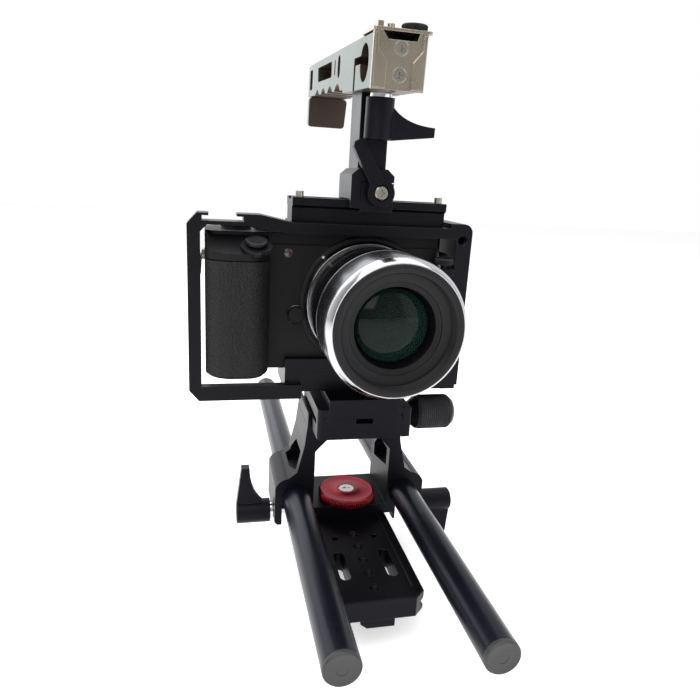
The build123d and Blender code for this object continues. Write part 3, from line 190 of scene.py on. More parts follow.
def leather(name, colour):
    """Moulded leatherette: pebbles with creases between them."""
    mat = surface(name, colour, rough=0.55, grain=2600, bump=0.2, vary=0.25, edge=0.8, specular=0.22)
    tree = mat.node_tree
    shader = tree.nodes["Principled BSDF"]
    place = tree.nodes.new("ShaderNodeTexCoord")
    pebble = tree.nodes.new("ShaderNodeTexVoronoi")
    pebble.feature = "DISTANCE_TO_EDGE"
    pebble.inputs["Scale"].default_value = 620.0
    warp = tree.nodes.new("ShaderNodeTexNoise")
    warp.inputs["Scale"].default_value = 700.0
    add = tree.nodes.new("ShaderNodeVectorMath")
    add.operation = "MULTIPLY_ADD"
    add.inputs[1].default_value = (0.0007, 0.0007, 0.0007)
    link(tree, place.outputs["Object"], warp.inputs["Vector"])
    link(tree, warp.outputs["Color"], add.inputs[0])
    link(tree, place.outputs["Object"], add.inputs[2])
    link(tree, add.outputs["Vector"], pebble.inputs["Vector"])
    crease = tree.nodes.new("ShaderNodeMapRange")
    crease.inputs["From Max"].default_value = 0.16
    link(tree, pebble.outputs["Distance"], crease.inputs["Value"])
    relief = tree.nodes.new("ShaderNodeBump")
    relief.inputs["Strength"].default_value = 0.75
    relief.inputs["Distance"].default_value = 0.35 * MM
    old = shader.inputs["Normal"].links[0].from_socket
    link(tree, crease.outputs["Result"], relief.inputs["Height"])
    link(tree, old, relief.inputs["Normal"])
    link(tree, relief.outputs["Normal"], shader.inputs["Normal"])
    return mat


def turned(name, colour, rough=0.25, metallic=1.0, rings=5200.0, along="Y", bump=0.12, vary=0.12):
    """Lathe-turned metal: fine lines round one axis."""
    pull = {"X": (1, 0.02, 0.02), "Y": (0.02, 1, 0.02), "Z": (0.02, 0.02, 1)}[along]
    return surface(name, colour, metallic, rough, rings, bump, 70, vary, stretch=pull, edge=0.25)


def coated_glass(name, tint, clear, specular):
    """Lens glass with a coloured coating that shows at a slant and faint dust."""
    mat = bpy.data.materials.new(name)
    mat.use_nodes = True
    tree = mat.node_tree
    shader = tree.nodes["Principled BSDF"]
    shader.inputs["Roughness"].default_value = 0.03
    shader.inputs["IOR"].default_value = 1.6
    shader.inputs["Alpha"].default_value = clear
    shader.inputs["Specular IOR Level"].default_value = specular
    slant = tree.nodes.new("ShaderNodeLayerWeight")
    slant.inputs["Blend"].default_value = 0.35
    coat = tree.nodes.new("ShaderNodeValToRGB")
    stops = coat.color_ramp.elements
    stops[0].color = (*tint, 1)
    stops[1].color = (0.035, 0.02, 0.055, 1)
    middle = stops.new(0.45)
    middle.color = (0.008, 0.030, 0.024, 1)
    dust = tree.nodes.new("ShaderNodeTexNoise")
    dust.inputs["Scale"].default_value = 1800.0
    dust.inputs["Detail"].default_value = 8.0
    speck = tree.nodes.new("ShaderNodeMapRange")
    speck.inputs["From Min"].default_value = 0.66
    speck.inputs["From Max"].default_value = 0.76
    speck.inputs["To Max"].default_value = 0.20
    grey = tree.nodes.new("ShaderNodeMix")
    grey.data_type = "RGBA"
    grey.inputs["B"].default_value = (0.10, 0.13, 0.12, 1)
    link(tree, slant.outputs["Facing"], coat.inputs["Fac"])
    link(tree, dust.outputs["Fac"], speck.inputs["Value"])
    link(tree, speck.outputs["Result"], grey.inputs["Factor"])
    link(tree, coat.outputs["Color"], grey.inputs["A"])
    link(tree, grey.outputs["Result"], shader.inputs["Base Color"])
    return mat


def painted_side_sheen(mat, colour):
    """Painted highlight: faces that look along X take a second colour that stands for the light they catch,
    so one finish shows as a lit copy on those faces and a shaded copy on the rest.
    """
    tree = mat.node_tree
    shader = tree.nodes["Principled BSDF"]
    old = shader.inputs["Base Color"].links[0].from_socket
    place = tree.nodes.new("ShaderNodeTexCoord")
    parts = tree.nodes.new("ShaderNodeSeparateXYZ")
    link(tree, place.outputs["Normal"], parts.inputs["Vector"])
    size = tree.nodes.new("ShaderNodeMath")
    size.operation = "ABSOLUTE"
    link(tree, parts.outputs["X"], size.inputs[0])
    # mask of the faces that take the painted highlight colour
    sheen_mask = tree.nodes.new("ShaderNodeMapRange")
    sheen_mask.inputs["From Min"].default_value = 0.80
    sheen_mask.inputs["From Max"].default_value = 0.92
    link(tree, size.outputs[0], sheen_mask.inputs["Value"])
    mix = tree.nodes.new("ShaderNodeMix")
    mix.data_type = "RGBA"
    mix.inputs["B"].default_value = (*colour, 1)
    link(tree, sheen_mask.outputs["Result"], mix.inputs["Factor"])
    link(tree, old, mix.inputs["A"])
    link(tree, mix.outputs["Result"], shader.inputs["Base Color"])
    return mat


RUBBED = (0.20, 0.20, 0.21)
MATS = {
    "anodised": surface("anodised_black", (0.006, 0.006, 0.009), 0.75, 0.42, 3200, 0.10, wear=0.4,
                        wear_colour=RUBBED, specular=0.3),
    "cage": surface("cage_black", (0.006, 0.006, 0.008), 0.75, 0.38, 3600, 0.12, wear=0.35,
                    wear_colour=RUBBED, specular=0.3),
    # painted highlight: the foot's faces that look along X take a lighter grey that stands for caught light
    "foot": painted_side_sheen(surface("foot_black", (0.008, 0.008, 0.011), 0.75, 0.40, 3200, 0.10, wear=0.4,
                              wear_colour=RUBBED, specular=0.3), (0.045, 0.05, 0.05)),
    "rod": surface("rod_gloss", (0.010, 0.011, 0.018), 0.6, 0.30, 4200, 0.03, 40, 0.3,
                   stretch=(1, 0.05, 1), specular=0.35),
    "plug": turned("plug_grey", (0.020, 0.020, 0.022), 0.5, 0.0, 2400, "Y", 0.3),
    # painted light: the brown base colour is painted shade and the sage colour on the X-facing faces is
    # painted highlight, shaded and lit copies of the handle's black finish
    "handle": painted_side_sheen(surface("handle_metal", (0.060, 0.042, 0.035), 0.75, 0.36, 2600, 0.08, 30, 0.2,
                                wear=0.6, wear_colour=(0.50, 0.44, 0.38)), (0.10, 0.125, 0.11)),
    "nickel": surface("brushed_nickel", (0.34, 0.295, 0.235), 1.0, 0.28, 5200, 0.10, 60, 0.12,
                      stretch=(1, 1, 0.06), wear=0.9, wear_colour=(0.92, 0.88, 0.80)),
    "chrome": turned("chrome_turned", (0.70, 0.70, 0.72), 0.12, 1.0, 2600, "X", 0.05),
    "steel": turned("steel_turned", (0.50, 0.49, 0.47), 0.26, 1.0, 3800, "Y", 0.1),
    "screw": surface("screw_nickel", (0.30, 0.28, 0.245), 1.0, 0.28, 2600, 0.12, 90, 0.2, wear=0.4),
    "dark_screw": surface("screw_black", (0.025, 0.025, 0.028), 0.9, 0.38, 2600, 0.1, wear=0.4,
                          wear_colour=RUBBED),
    "red": surface("anodised_red", (0.24, 0.006, 0.018), 0.85, 0.32, 3000, 0.08, 45, 0.2, wear=0.4,
                   wear_colour=(0.7, 0.36, 0.34)),
    "knob": surface("knob_black", (0.010, 0.010, 0.012), 0.7, 0.42, 2600, 0.10, wear=0.4,
                    wear_colour=RUBBED, specular=0.3),
    "paint": surface("camera_paint", (0.006, 0.006, 0.007), 0.0, 0.50, 5200, 0.38, 60, 0.15, wear=0.1,
                     wear_colour=(0.12, 0.12, 0.13), specular=0.14),
    "gloss": surface("gloss_black", (0.004, 0.004, 0.005), 0.0, 0.14, 2600, 0.02, 60, 0.2, coat=0.25),
    "rubber": surface("soft_rubber", (0.008, 0.008, 0.009), 0.0, 0.72, 2600, 0.35, 60, 0.25, edge=0.6,
                      specular=0.2),
    "leather": leather("grip_leather", (0.008, 0.008, 0.009)),
    "lens_silver": turned("lens_silver", (0.22, 0.22, 0.235), 0.26, 1.0, 2600, "Y", 0.14),
    "lens_bright": turned("lens_bright", (0.50, 0.50, 0.52), 0.14, 1.0, 2600, "Y", 0.06),
    "lens_black": turned("lens_black", (0.008, 0.008, 0.010), 0.24, 0.7, 2600, "Y", 0.10, 0.25),
    "baffle": surface("baffle_black", (0.005, 0.005, 0.006), 0.1, 0.46, 3200, 0.12, specular=0.25),
    "sensor": surface("sensor_violet", (0.05, 0.03, 0.10), 0.4, 0.2, 2600, 0.05),
    "battery": surface("battery_grey", (0.08, 0.09, 0.12), 0.0, 0.5, 2600, 0.1),
    "lamp": surface("lamp_dark", (0.030, 0.016, 0.010), 0.0, 0.14, 2600, 0.02, coat=0.5),
    "mark": surface("mark_grey", (0.45, 0.45, 0.45), 0.0, 0.5, 2600, 0.1),
    "glass": coated_glass("front_glass", (0.004, 0.008, 0.006), 0.82, 0.10),
    "deep_glass": coated_glass("inner_glass", (0.005, 0.012, 0.009), 0.45, 0.3),
}

NODE_LOOKS = {
    "anodised": "base_plate riser_bridge qr_clamp_base qr_clamp_jaw qr_plate rod_lever_left rod_lever_right "
                "foot_lever handle_lever",
    "foot": "handle_foot handle_foot_jaw",
    "cage": "cage_frame handle_rail",
    "rod": "rod_left rod_right",
    "handle": "top_handle handle_tail",
    "nickel": "handle_face_plate shoe_plate",
    "screw": "face_screws foot_lever_screw rail_stop_pins strap_eyelets",
    "dark_screw": "rail_screws clamp_screws camera_screw",
    "chrome": "rod_lever_stud_left rod_lever_stud_right handle_lever_stud",
    "steel": "qr_knob_shaft",
    "paint": "camera_front_shell camera_rear_shell camera_top_cover power_switch battery_door set_button "
             "lens_release_button",
    "leather": "grip_leather",
    "gloss": "tilt_screen",
    "rubber": "viewfinder_cup",
    "sensor": "image_sensor",
    "battery": "battery",
    "deep_glass": "inner_elements",
}


def paint_nodes():
    """Every CAD node gets its finish. Nodes that a turned piece stands for are painted too."""
    for name, node in nodes.items():
        node.data.materials.clear()
        node.data.materials.append(MATS["anodised"])
    for look, names in NODE_LOOKS.items():
        for name in names.split():
            nodes[name].data.materials.clear()
            nodes[name].data.materials.append(MATS[look])


# ---------------------------------------------------------------- shape helpers
def dress(piece, body, look, slot, *replaced):
    """Give a new piece its finish, its body, and the CAD nodes that it stands for."""
    piece.data.materials.append(MATS[look])
    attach(piece, body)
    if replaced:
        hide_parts(*replaced)
    return piece


def mesh_piece(name, build, smooth=True):
    """A mesh object filled by build(bm)."""
    bm = bmesh.new()
    build(bm)
    bmesh.ops.remove_doubles(bm, verts=bm.verts, dist=1e-7)
    bmesh.ops.recalc_face_normals(bm, faces=bm.faces)
    mesh = bpy.data.meshes.new(name)
    bm.to_mesh(mesh)
    bm.free()
    piece = bpy.data.objects.new(name, mesh)
    bpy.context.scene.collection.objects.link(piece)
    if smooth:
        mesh.shade_smooth()
        mesh.set_sharp_from_angle(angle=radians(32))
    return piece


def basis(axis):
    """Two directions across an axis, and the axis."""
    w = Vector(axis).normalized()
    u = w.orthogonal().normalized()
    return u, w.cross(u), w


def lathe(name, outline, centre, axis, teeth=0, depth=0.0, twist=0.0, segments=128, steps=1):
    """Turn a closed outline of (along, radius, knurl) in mm about an axis. Where knurl is 1, teeth
    are cut to the depth; twist, in turns per mm, leans them both ways into a diamond knurl."""
    u, v, w = basis(axis)
    origin = Vector(centre)
    count = teeth * 6 if teeth else segments
    rows = []
    for (a0, r0, k0), (a1, r1, k1) in zip(outline, outline[1:] + outline[:1]):
        pieces = steps if k0 and k1 else 1
        for i in range(pieces):
            f = i / pieces
            rows.append((a0 + (a1 - a0) * f, r0 + (r1 - r0) * f, k0 + (k1 - k0) * f))

    def build(bm):
        rings = []
        for along, radius, knurl in rows:
            ring = []
            for i in range(count):
                angle = tau * i / count
                lean = tau * twist * along
                cut = 0.25 * (2 - cos(teeth * angle + lean) - cos(teeth * angle - lean))
                r = max(0.0, radius - depth * knurl * cut) * MM
                ring.append(bm.verts.new(origin + w * along * MM + (u * cos(angle) + v * sin(angle)) * r))
            rings.append(ring)
        for a, b in zip(rings, rings[1:] + rings[:1]):
            for i in range(count):
                j = (i + 1) % count
                bm.faces.new((a[i], a[j], b[j], b[i]))
        bmesh.ops.remove_doubles(bm, verts=bm.verts, dist=1e-7)
        bmesh.ops.dissolve_degenerate(bm, dist=1e-8, edges=bm.edges)

    return mesh_piece(name, build)


def thread(name, centre, axis, radius, length, body, look="steel", slot="steel", pitch=1.0):
    """A cut thread inside a hole: a thin sleeve with a sharp-edged bore."""
    outline = [(0, radius - 0.03, 0)]
    turns = int(length / pitch)
    outline.append((length, radius - 0.03, 0))
    for i in range(turns, 0, -1):
        outline.append((i * pitch, radius - 0.12, 0))
        outline.append(((i - 0.5) * pitch, radius - 0.62, 0))
    outline.append((0, radius - 0.12, 0))
    return dress(lathe(name, outline, centre, axis, segments=40), body, look, slot)


def slab(name, low, high, radius, rim, axis="Y"):
    """A rounded rectangle between two corners, in mm, with its long edges rounded by rim."""
    low, high = Vector(low) * MM, Vector(high) * MM
    order = {"X": (1, 2, 0), "Y": (0, 2, 1), "Z": (0, 1, 2)}[axis]

    def build(bm):
        a, b, c = order
        corners = []
        for sa, sb, start in ((1, 1, 0), (-1, 1, 1), (-1, -1, 2), (1, -1, 3)):
            ca = (high[a] - radius * MM) if sa > 0 else (low[a] + radius * MM)
            cb = (high[b] - radius * MM) if sb > 0 else (low[b] + radius * MM)
            for i in range(7):
                angle = start * pi / 2 + i * pi / 12
                corners.append((ca + cos(angle) * radius * MM, cb + sin(angle) * radius * MM))
        rings = []
        for level in (low[c], high[c]):
            ring = []
            for pa, pb in corners:
                co = [0, 0, 0]
                co[a], co[b], co[c] = pa, pb, level
                ring.append(bm.verts.new(co))
            rings.append(ring)
        bm.faces.new(rings[0])
        bm.faces.new(rings[1])
        for i in range(len(corners)):
            j = (i + 1) % len(corners)
            bm.faces.new((rings[0][i], rings[0][j], rings[1][j], rings[1][i]))
        ends = [e for e in bm.edges if abs(e.verts[0].co[c] - e.verts[1].co[c]) < 1e-9]
        bmesh.ops.bevel(bm, geom=ends, offset=rim * MM, segments=3, profile=0.6, affect="EDGES")

    return mesh_piece(name, build)


def middle(node):
    low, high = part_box(node)
    return (low + high) / 2, low, high


def joint_named(name):
    return next(j for j in frame["joints"] if j["name"] == name)


# ---------------------------------------------------------------- rods and plate
def make_rod_plugs():
    for side in ("left", "right"):
        centre, low, high = middle(f"rod_{side}_caps")
        radius = (high.x - low.x) / 2 / MM
        outline = [
            (0.35, 0, 0), (0.35, 2.2, 0), (0.15, 2.5, 0), (0.15, radius - 1.5, 0), (0, radius - 1.1, 0),
            (0.1, radius - 0.4, 0), (0.7, radius - 0.02, 0), (2.1, radius - 0.02, 0), (2.15, radius - 0.5, 0),
            (2.25, radius - 2.1, 0), (10.5, radius - 2.1, 0), (10.5, 0, 0),
        ]
        front = lathe(f"rod_{side}_front_plug", outline, (centre.x, low.y, centre.z), (0, 1, 0))
        dress(front, f"{side}_rod", "plug", "grey_plug", f"rod_{side}_caps")
        back = lathe(f"rod_{side}_back_plug", outline, (centre.x, high.y, centre.z), (0, -1, 0))
        dress(back, f"{side}_rod", "plug", "grey_plug")


def make_plate_threads():
    low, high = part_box("base_plate")
    middle_x = (low.x + high.x) / 2
    for i in range(PLATE_HOLES):
        place = (middle_x, (PLATE_FIRST_HOLE - PLATE_HOLE_PITCH * i) * MM, high.z - 0.6 * MM)
        thread(f"plate_thread_{i + 1}", place, (0, 0, -1), TAPPED_R, 8.8,
               "base", "anodised", "black_anodised")
    # a fine groove line on each side of the plate, cut by the slide that holds it
    for s in (-1, 1):
        x = middle_x / MM + s * 17.6
        strip = slab(f"plate_line_{'left' if s < 0 else 'right'}",
                     (x - 0.35, low.y / MM + 8, high.z / MM - 0.05),
                     (x + 0.35, high.y / MM - 3, high.z / MM + 0.06), 0.3, 0.04, "Z")
        dress(strip, "base", "knob", "black_anodised")


def make_lock_knob():
    centre, low, high = middle("lock_knob")
    r = (high.x - low.x) / 2 / MM
    h = (high.z - low.z) / MM
    outline = [
        (0, 4.62, 0), (0, r - 1.3, 0), (0.5, r - 0.25, 1), (1.0, r, 1), (h - 1.0, r, 1),
        (h - 0.5, r - 0.3, 1),
        (h - 0.05, r - 1.2, 0), (h - 0.35, r - 2.2, 0), (h - 0.35, 6.4, 0), (h, 5.8, 0), (h, 4.62, 0),
    ]
    knob = lathe("lock_knob_red", outline, (centre.x, centre.y, low.z), (0, 0, 1), 84, 0.75)
    dress(knob, "base_lock", "red", "red_anodised", "lock_knob")
    _, slow, shigh = middle("lock_knob_stud")
    top = (shigh.z - slow.z) / MM
    stud = lathe("lock_knob_centre", [
        (0, 0, 0), (0, 2.6, 0), (0.4, 2.95, 0), (5.9, 2.95, 0), (6.0, 4.55, 0), (top - 0.5, 4.55, 0),
        (top - 0.1, 4.1, 0), (top - 0.1, 1.9, 0), (top - 0.6, 1.5, 0), (top - 0.6, 0, 0),
    ], (centre.x, centre.y, slow.z), (0, 0, 1))
    dress(stud, "base_lock", "steel", "steel", "lock_knob_stud")


def make_clamp_knob():
    centre, low, high = middle("qr_knob")
    n = (high.x - low.x) / MM
    r = (high.z - low.z) / 2 / MM
    outline = [
        (0, 3.05, 0), (0, 4.4, 0), (2.2, 4.4, 0), (2.9, 4.9, 0), (7.2, 8.2, 0), (8.0, r - 0.5, 0),
        (8.9, r - 0.1, 1), (9.4, r, 1), (n - 3.6, r, 1), (n - 3.0, r - 0.2, 1), (n - 2.2, r - 0.9, 0),
        (n - 0.4, r - 2.4, 0), (n, r - 3.2, 0), (n, 5.2, 0), (n - 0.7, 4.6, 0), (n - 0.7, 3.05, 0),
    ]
    knob = lathe("clamp_knob_knurled", outline, (low.x, centre.y, centre.z), (1, 0, 0),
                 54, 0.7, 0.42, steps=28)
    dress(knob, "clamp_knob", "knob", "dark_knob", "qr_knob")


# ---------------------------------------------------------------- lens
def lens_frame():
    """The point where the lens axis meets the camera's face."""
    centre, _, high = middle("mount_ring")
    return Vector((centre.x, high.y, centre.z))


def make_lens():
    face = lens_frame()
    forward = (0, -1, 0)
    low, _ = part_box("filter_bezel")
    front = (face.y - low.y) / MM
    _, flow, fhigh = middle("focus_ring")
    focus_back = (face.y - fhigh.y) / MM
    focus_front = (face.y - flow.y) / MM

    mount = lathe("mount_ring_turned", [
        (0.1, 23.1, 0), (0.1, 30.7, 0), (1.6, 30.75, 0), (2.4, 30.2, 0), (2.9, 29.9, 0), (2.9, 23.1, 0),
    ], face, forward, segments=160)
    dress(mount, "camera", "lens_bright", "lens_silver", "mount_ring")

    end = focus_back - 0.35
    barrel = lathe("lens_barrel_turned", [
        (-6, 19.1, 0), (-6, 22.3, 0), (2.9, 22.3, 0), (3.1, 28.2, 0), (3.5, 29.2, 0), (4.4, 29.5, 0),
        (end - 3.0, 29.5, 0), (end - 2.8, 29.1, 0), (end - 2.3, 29.1, 0), (end - 2.1, 29.5, 0),
        (end - 0.5, 29.5, 0), (end, 29.0, 0), (end, 25.95, 0), (front - 8.3, 25.95, 0),
        (front - 8.3, 19.2, 0),
        (front - 12.0, 17.0, 0), (front - 16.9, 16.6, 0), (front - 17.0, 19.2, 0), (7, 19.2, 0),
    ], face, forward, segments=192)
    dress(barrel, "camera", "lens_black", "lens_black", "lens_barrel")
    line = lathe("lens_bright_line", [
        (end - 2.25, 29.15, 0), (end - 2.25, 29.56, 0), (end - 1.55, 29.56, 0), (end - 1.55, 29.15, 0),
    ], face, forward, segments=192)
    dress(line, "camera", "lens_bright", "lens_silver")

    ring = lathe("focus_ring_ribbed", [
        (focus_back + 0.02, 26.1, 0), (focus_back + 0.02, 29.8, 0), (focus_back + 0.5, 30.2, 0),
        (focus_back + 1.6, 30.2, 0), (focus_back + 1.9, 30.35, 1), (focus_front - 1.9, 30.35, 1),
        (focus_front - 1.6, 30.2, 0), (focus_front - 0.5, 30.2, 0), (focus_front - 0.02, 29.8, 0),
        (focus_front - 0.02, 26.1, 0),
    ], face, forward, 150, 0.55)
    dress(ring, "focus", "lens_black", "lens_black", "focus_ring")

    start = focus_front + 0.36
    shell = lathe("lens_front_ring_turned", [
        (start, 26.1, 0), (start, 30.2, 0), (start + 0.5, 30.9, 0), (start + 1.3, 31.05, 0),
        (start + 1.5, 30.8, 0), (start + 1.9, 30.8, 0), (start + 2.1, 31.05, 0), (front - 5.4, 31.05, 0),
        (front - 5.0, 30.9, 0), (front - 5.0, 27.9, 0), (front - 7.8, 27.9, 0), (front - 7.8, 26.1, 0),
    ], face, forward, segments=224)
    dress(shell, "camera", "lens_silver", "lens_silver", "lens_front_ring")
    bevel = lathe("lens_front_bevel", [
        (front - 4.98, 28.0, 0), (front - 4.98, 30.85, 0), (front - 4.4, 30.7, 0), (front - 1.1, 29.2, 0),
        (front - 0.7, 28.8, 0), (front - 0.7, 28.4, 0),
    ], face, forward, segments=224)
    dress(bevel, "camera", "lens_bright", "lens_silver")

    rim = [(front - 7.7, 27.8, 0), (front - 0.6, 28.35, 0), (front - 0.1, 28.0, 0), (front, 27.4, 0),
           (front, 25.4, 0), (front - 0.3, 24.9, 0)]
    for i in range(5):
        rim.append((front - 0.7 - 0.75 * i, 24.85, 0))
        rim.append((front - 1.05 - 0.75 * i, 24.5, 0))
    # the name ring slopes in, then the baffle steps down to the glass
    rim += [(front - 4.5, 24.7, 0), (front - 4.6, 23.6, 0), (front - 5.6, 20.4, 0)]
    for i in range(4):
        rim.append((front - 6.0 - 0.5 * i, 20.2 - 0.7 * i, 0))
        rim.append((front - 6.3 - 0.5 * i, 20.2 - 0.7 * i, 0))
    rim += [(front - 7.9, 17.9, 0), (front - 7.9, 27.6, 0)]
    bezel = lathe("filter_bezel_threaded", rim, face, forward, segments=192)
    dress(bezel, "camera", "baffle", "lens_black", "filter_bezel")

    glass = lathe("front_element_curved", [
        (front - 16, 0, 0), (front - 9.4, 0, 0), (front - 9.5, 3, 0), (front - 9.8, 6, 0),
        (front - 10.3, 9, 0),
        (front - 11.1, 12, 0), (front - 12.1, 14.6, 0), (front - 12.9, 16.3, 0), (front - 16, 16.3, 0),
    ], face, forward, segments=128)
    dress(glass, "camera", "glass", "coated_glass", "front_element")

    # iris blades behind the glass
    for i in range(IRIS_BLADES):
        angle = tau * i / IRIS_BLADES
        hub = face + Vector((cos(angle) * 10.5 * MM, -(front - 20.5 - 0.12 * i) * MM, sin(angle) * 10.5 * MM))

        def build(bm, hub=hub, angle=angle):
            ring = []
            for j in range(24):
                turn = tau * j / 24
                across, tall = 3.6 * MM * cos(turn), 8.4 * MM * sin(turn)
                ring.append(bm.verts.new(hub + Vector((
                    across * cos(angle) - tall * sin(angle), 0, across * sin(angle) + tall * cos(angle)))))
            top = bm.faces.new(ring)
            lift = bmesh.ops.extrude_face_region(bm, geom=[top])
            moved = [g for g in lift["geom"] if isinstance(g, bmesh.types.BMVert)]
            bmesh.ops.translate(bm, verts=moved, vec=(0, 0.1 * MM, 0))

        dress(mesh_piece(f"iris_blade_{i + 1}", build), "camera", "baffle", "lens_black")


# ---------------------------------------------------------------- camera
def make_dial(node, body, look="knob", teeth=64):
    centre, low, high = middle(node)
    r = (high.x - low.x) / 2 / MM
    h = (high.z - low.z) / MM
    outline = [
        (0, 0, 0), (0, r - 0.6, 0), (0.7, r, 0), (1.7, r, 0), (1.9, r, 1), (h - 0.6, r, 1),
        (h - 0.25, r - 0.2, 1),
        (h, r - 0.7, 0), (h, r - 1.2, 0), (h - 0.12, r - 1.4, 0), (h - 0.12, 0, 0),
    ]
    dial = lathe(f"{node}_knurled", outline, (centre.x, centre.y, low.z), (0, 0, 1), teeth, 0.45)
    dress(dial, body, look, "dark_knob", node)
    return centre, high, r


def make_camera_controls():
    make_dial("control_dial", "front_dial")
    centre, high, r = make_dial("mode_dial", "top_dial")
    # plain index marks round the mode dial's top
    for i in range(10):
        angle = tau * i / 10
        at = centre.copy()
        at.x += cos(angle) * (r - 2.3) * MM
        at.y += sin(angle) * (r - 2.3) * MM
        at.z = high.z - 0.14 * MM
        mark = lathe(f"mode_mark_{i + 1}", [
            (0, 0, 0), (0, 0.36, 0), (0.06, 0.36, 0), (0.09, 0.28, 0), (0.09, 0, 0),
        ], at, (0, 0, 1), segments=16)
        dress(mark, "top_dial", "mark", "dark_knob")

    axis = -Vector(joint_named("shutter_press")["axis"])
    deck = Vector(joint_named("power_turn")["pos_m"])
    button = lathe("shutter_button_domed", [
        (-1.4, 0, 0), (-1.4, 3.2, 0), (2.85, 3.2, 0), (2.9, 4.9, 0), (3.3, 5.15, 0), (3.9, 5.1, 0),
        (4.3, 4.7, 0), (4.4, 4.1, 0), (4.15, 2.6, 0), (4.05, 1.2, 0), (4.02, 0, 0),
    ], deck, axis, segments=96)
    dress(button, "shutter", "knob", "steel", "shutter_button")
    # grip ribs round the power switch's rim
    for i in range(26):
        angle = tau * (i + 0.5) / 26
        u, v, w = basis(axis)
        out = u * cos(angle) + v * sin(angle)
        if out.y < -0.8:
            continue
        at = deck + out * 6.98 * MM + w * 0.45 * MM
        rib = lathe(f"power_rib_{i + 1}", [
            (0, 0, 0), (0, 0.42, 0), (1.2, 0.42, 0), (1.35, 0.25, 0), (1.35, 0, 0),
        ], at, w, segments=10)
        dress(rib, "power", "knob", "camera_black")

    centre, low, high = middle("rear_wheel")
    wheel = lathe("rear_wheel_ribbed", [
        (0, 4.45, 0), (0, 11.0, 0), (0.6, 11.15, 1), (1.6, 11.1, 1), (2.1, 10.4, 0), (1.7, 8.6, 0),
        (1.5, 6.6, 0), (1.75, 5.0, 0), (1.9, 4.45, 0),
    ], (centre.x, low.y, centre.z), (0, 1, 0), 60, 0.5)
    dress(wheel, "wheel", "knob", "camera_black", "rear_wheel")


def make_camera_front():
    face = lens_frame()
    # focus lamp between the grip and the mount
    lamp = lathe("focus_lamp", [
        (-0.6, 0, 0), (-0.6, 2.2, 0), (0.3, 2.2, 0), (0.4, 2.0, 0), (0.15, 1.8, 0), (0.35, 1.2, 0),
        (0.45, 0, 0),
    ], (FOCUS_LAMP[0] * MM, face.y, FOCUS_LAMP[1] * MM), (0, -1, 0), segments=48)
    dress(lamp, "camera", "lamp", "camera_black")
    # raised collar round the mount
    collar = lathe("mount_collar", [
        (-0.5, 30.9, 0), (-0.5, 33.4, 0), (0.5, 33.4, 0), (1.0, 32.7, 0), (1.2, 31.6, 0), (1.0, 30.9, 0),
    ], face, (0, -1, 0), segments=160)
    dress(collar, "camera", "paint", "camera_black")
    release = lathe("lens_release_ring", [
        (-0.5, 4.05, 0), (-0.5, 4.9, 0), (0.5, 4.8, 0), (0.8, 4.4, 0), (0.5, 4.05, 0),
    ], (RELEASE_BUTTON[0] * MM, face.y, RELEASE_BUTTON[1] * MM), (0, -1, 0), segments=48)
    dress(release, "camera", "gloss", "camera_black")
    dot = lathe("mount_index_dot", [
        (1.0, 0, 0), (1.0, 0.75, 0), (1.35, 0.7, 0), (1.45, 0.4, 0), (1.45, 0, 0),
    ], face + Vector((-MOUNT_DOT_OUT * MM, 0, MOUNT_DOT_OUT * MM)), (0, -1, 0), segments=24)
    dress(dot, "camera", "mark", "camera_black")


def make_camera_rear():
    low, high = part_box("tilt_screen")
    glass = slab("screen_glass", (low.x / MM + 2.2, high.y / MM - 0.4, low.z / MM + 3.0),
                 (high.x / MM - 2.2, high.y / MM - 0.02, high.z / MM - 5.0), 1.0, 0.12)
    dress(glass, "screen", "gloss", "screen")
    bezel = slab("screen_back", (low.x / MM + 0.6, low.y / MM + 0.1, low.z / MM + 0.6),
                 (high.x / MM - 0.6, high.y / MM - 0.5, high.z / MM - 2.6), 2.0, 0.5)
    dress(bezel, "screen", "paint", "screen")
    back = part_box("camera_rear_shell")[1]
    for i, (x, z) in enumerate(REAR_BUTTONS):
        cap = lathe(f"rear_button_{i + 1}", [
            (-1, 0, 0), (-1, 2.6, 0), (0.5, 2.6, 0), (0.85, 2.3, 0), (0.95, 1.2, 0), (0.9, 0, 0),
        ], (x * MM, back.y, z * MM), (0, 1, 0), segments=40)
        dress(cap, "camera", "paint", "camera_black")
    (left, bottom), (right, top) = THUMB_REST_LOW, THUMB_REST_HIGH
    rest = slab("thumb_rest", (left, back.y / MM - 1, bottom), (right, back.y / MM + 1.4, top), 2.6, 0.9)
    dress(rest, "camera", "rubber", "soft_rubber")
    window = slab("eyepiece_glass", EYEPIECE_LOW, EYEPIECE_HIGH, 1.4, 0.1)
    dress(window, "camera", "gloss", "camera_black")


def make_strap_rings():
    """A split triangular ring hangs from each eyelet."""
    low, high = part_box("strap_eyelets")
    mid = (low + high) / 2
    for side, x, out in (("left", low.x, -1), ("right", high.x, 1)):
        data = bpy.data.curves.new(f"strap_ring_{side}", "CURVE")
        data.dimensions = "3D"
        data.bevel_depth = 0.55 * MM
        data.bevel_resolution = 4
        spline = data.splines.new("NURBS")
        points = [(0, 1.2), (2.2, -3.5), (4.8, -8.6), (0, -9.6), (-4.8, -8.6), (-2.2, -3.5)]
        spline.points.add(len(points) - 1)
        for point, (y, z) in zip(spline.points, points):
            place = Vector((x + out * (0.3 - 0.06 * z) * MM, mid.y + y * MM, mid.z + z * MM))
            point.co = (*place, 1)
        spline.use_cyclic_u = True
        spline.order_u = 3
        piece = bpy.data.objects.new(f"strap_ring_{side}", data)
        bpy.context.scene.collection.objects.link(piece)
        dress(piece, "camera", "screw", "steel")


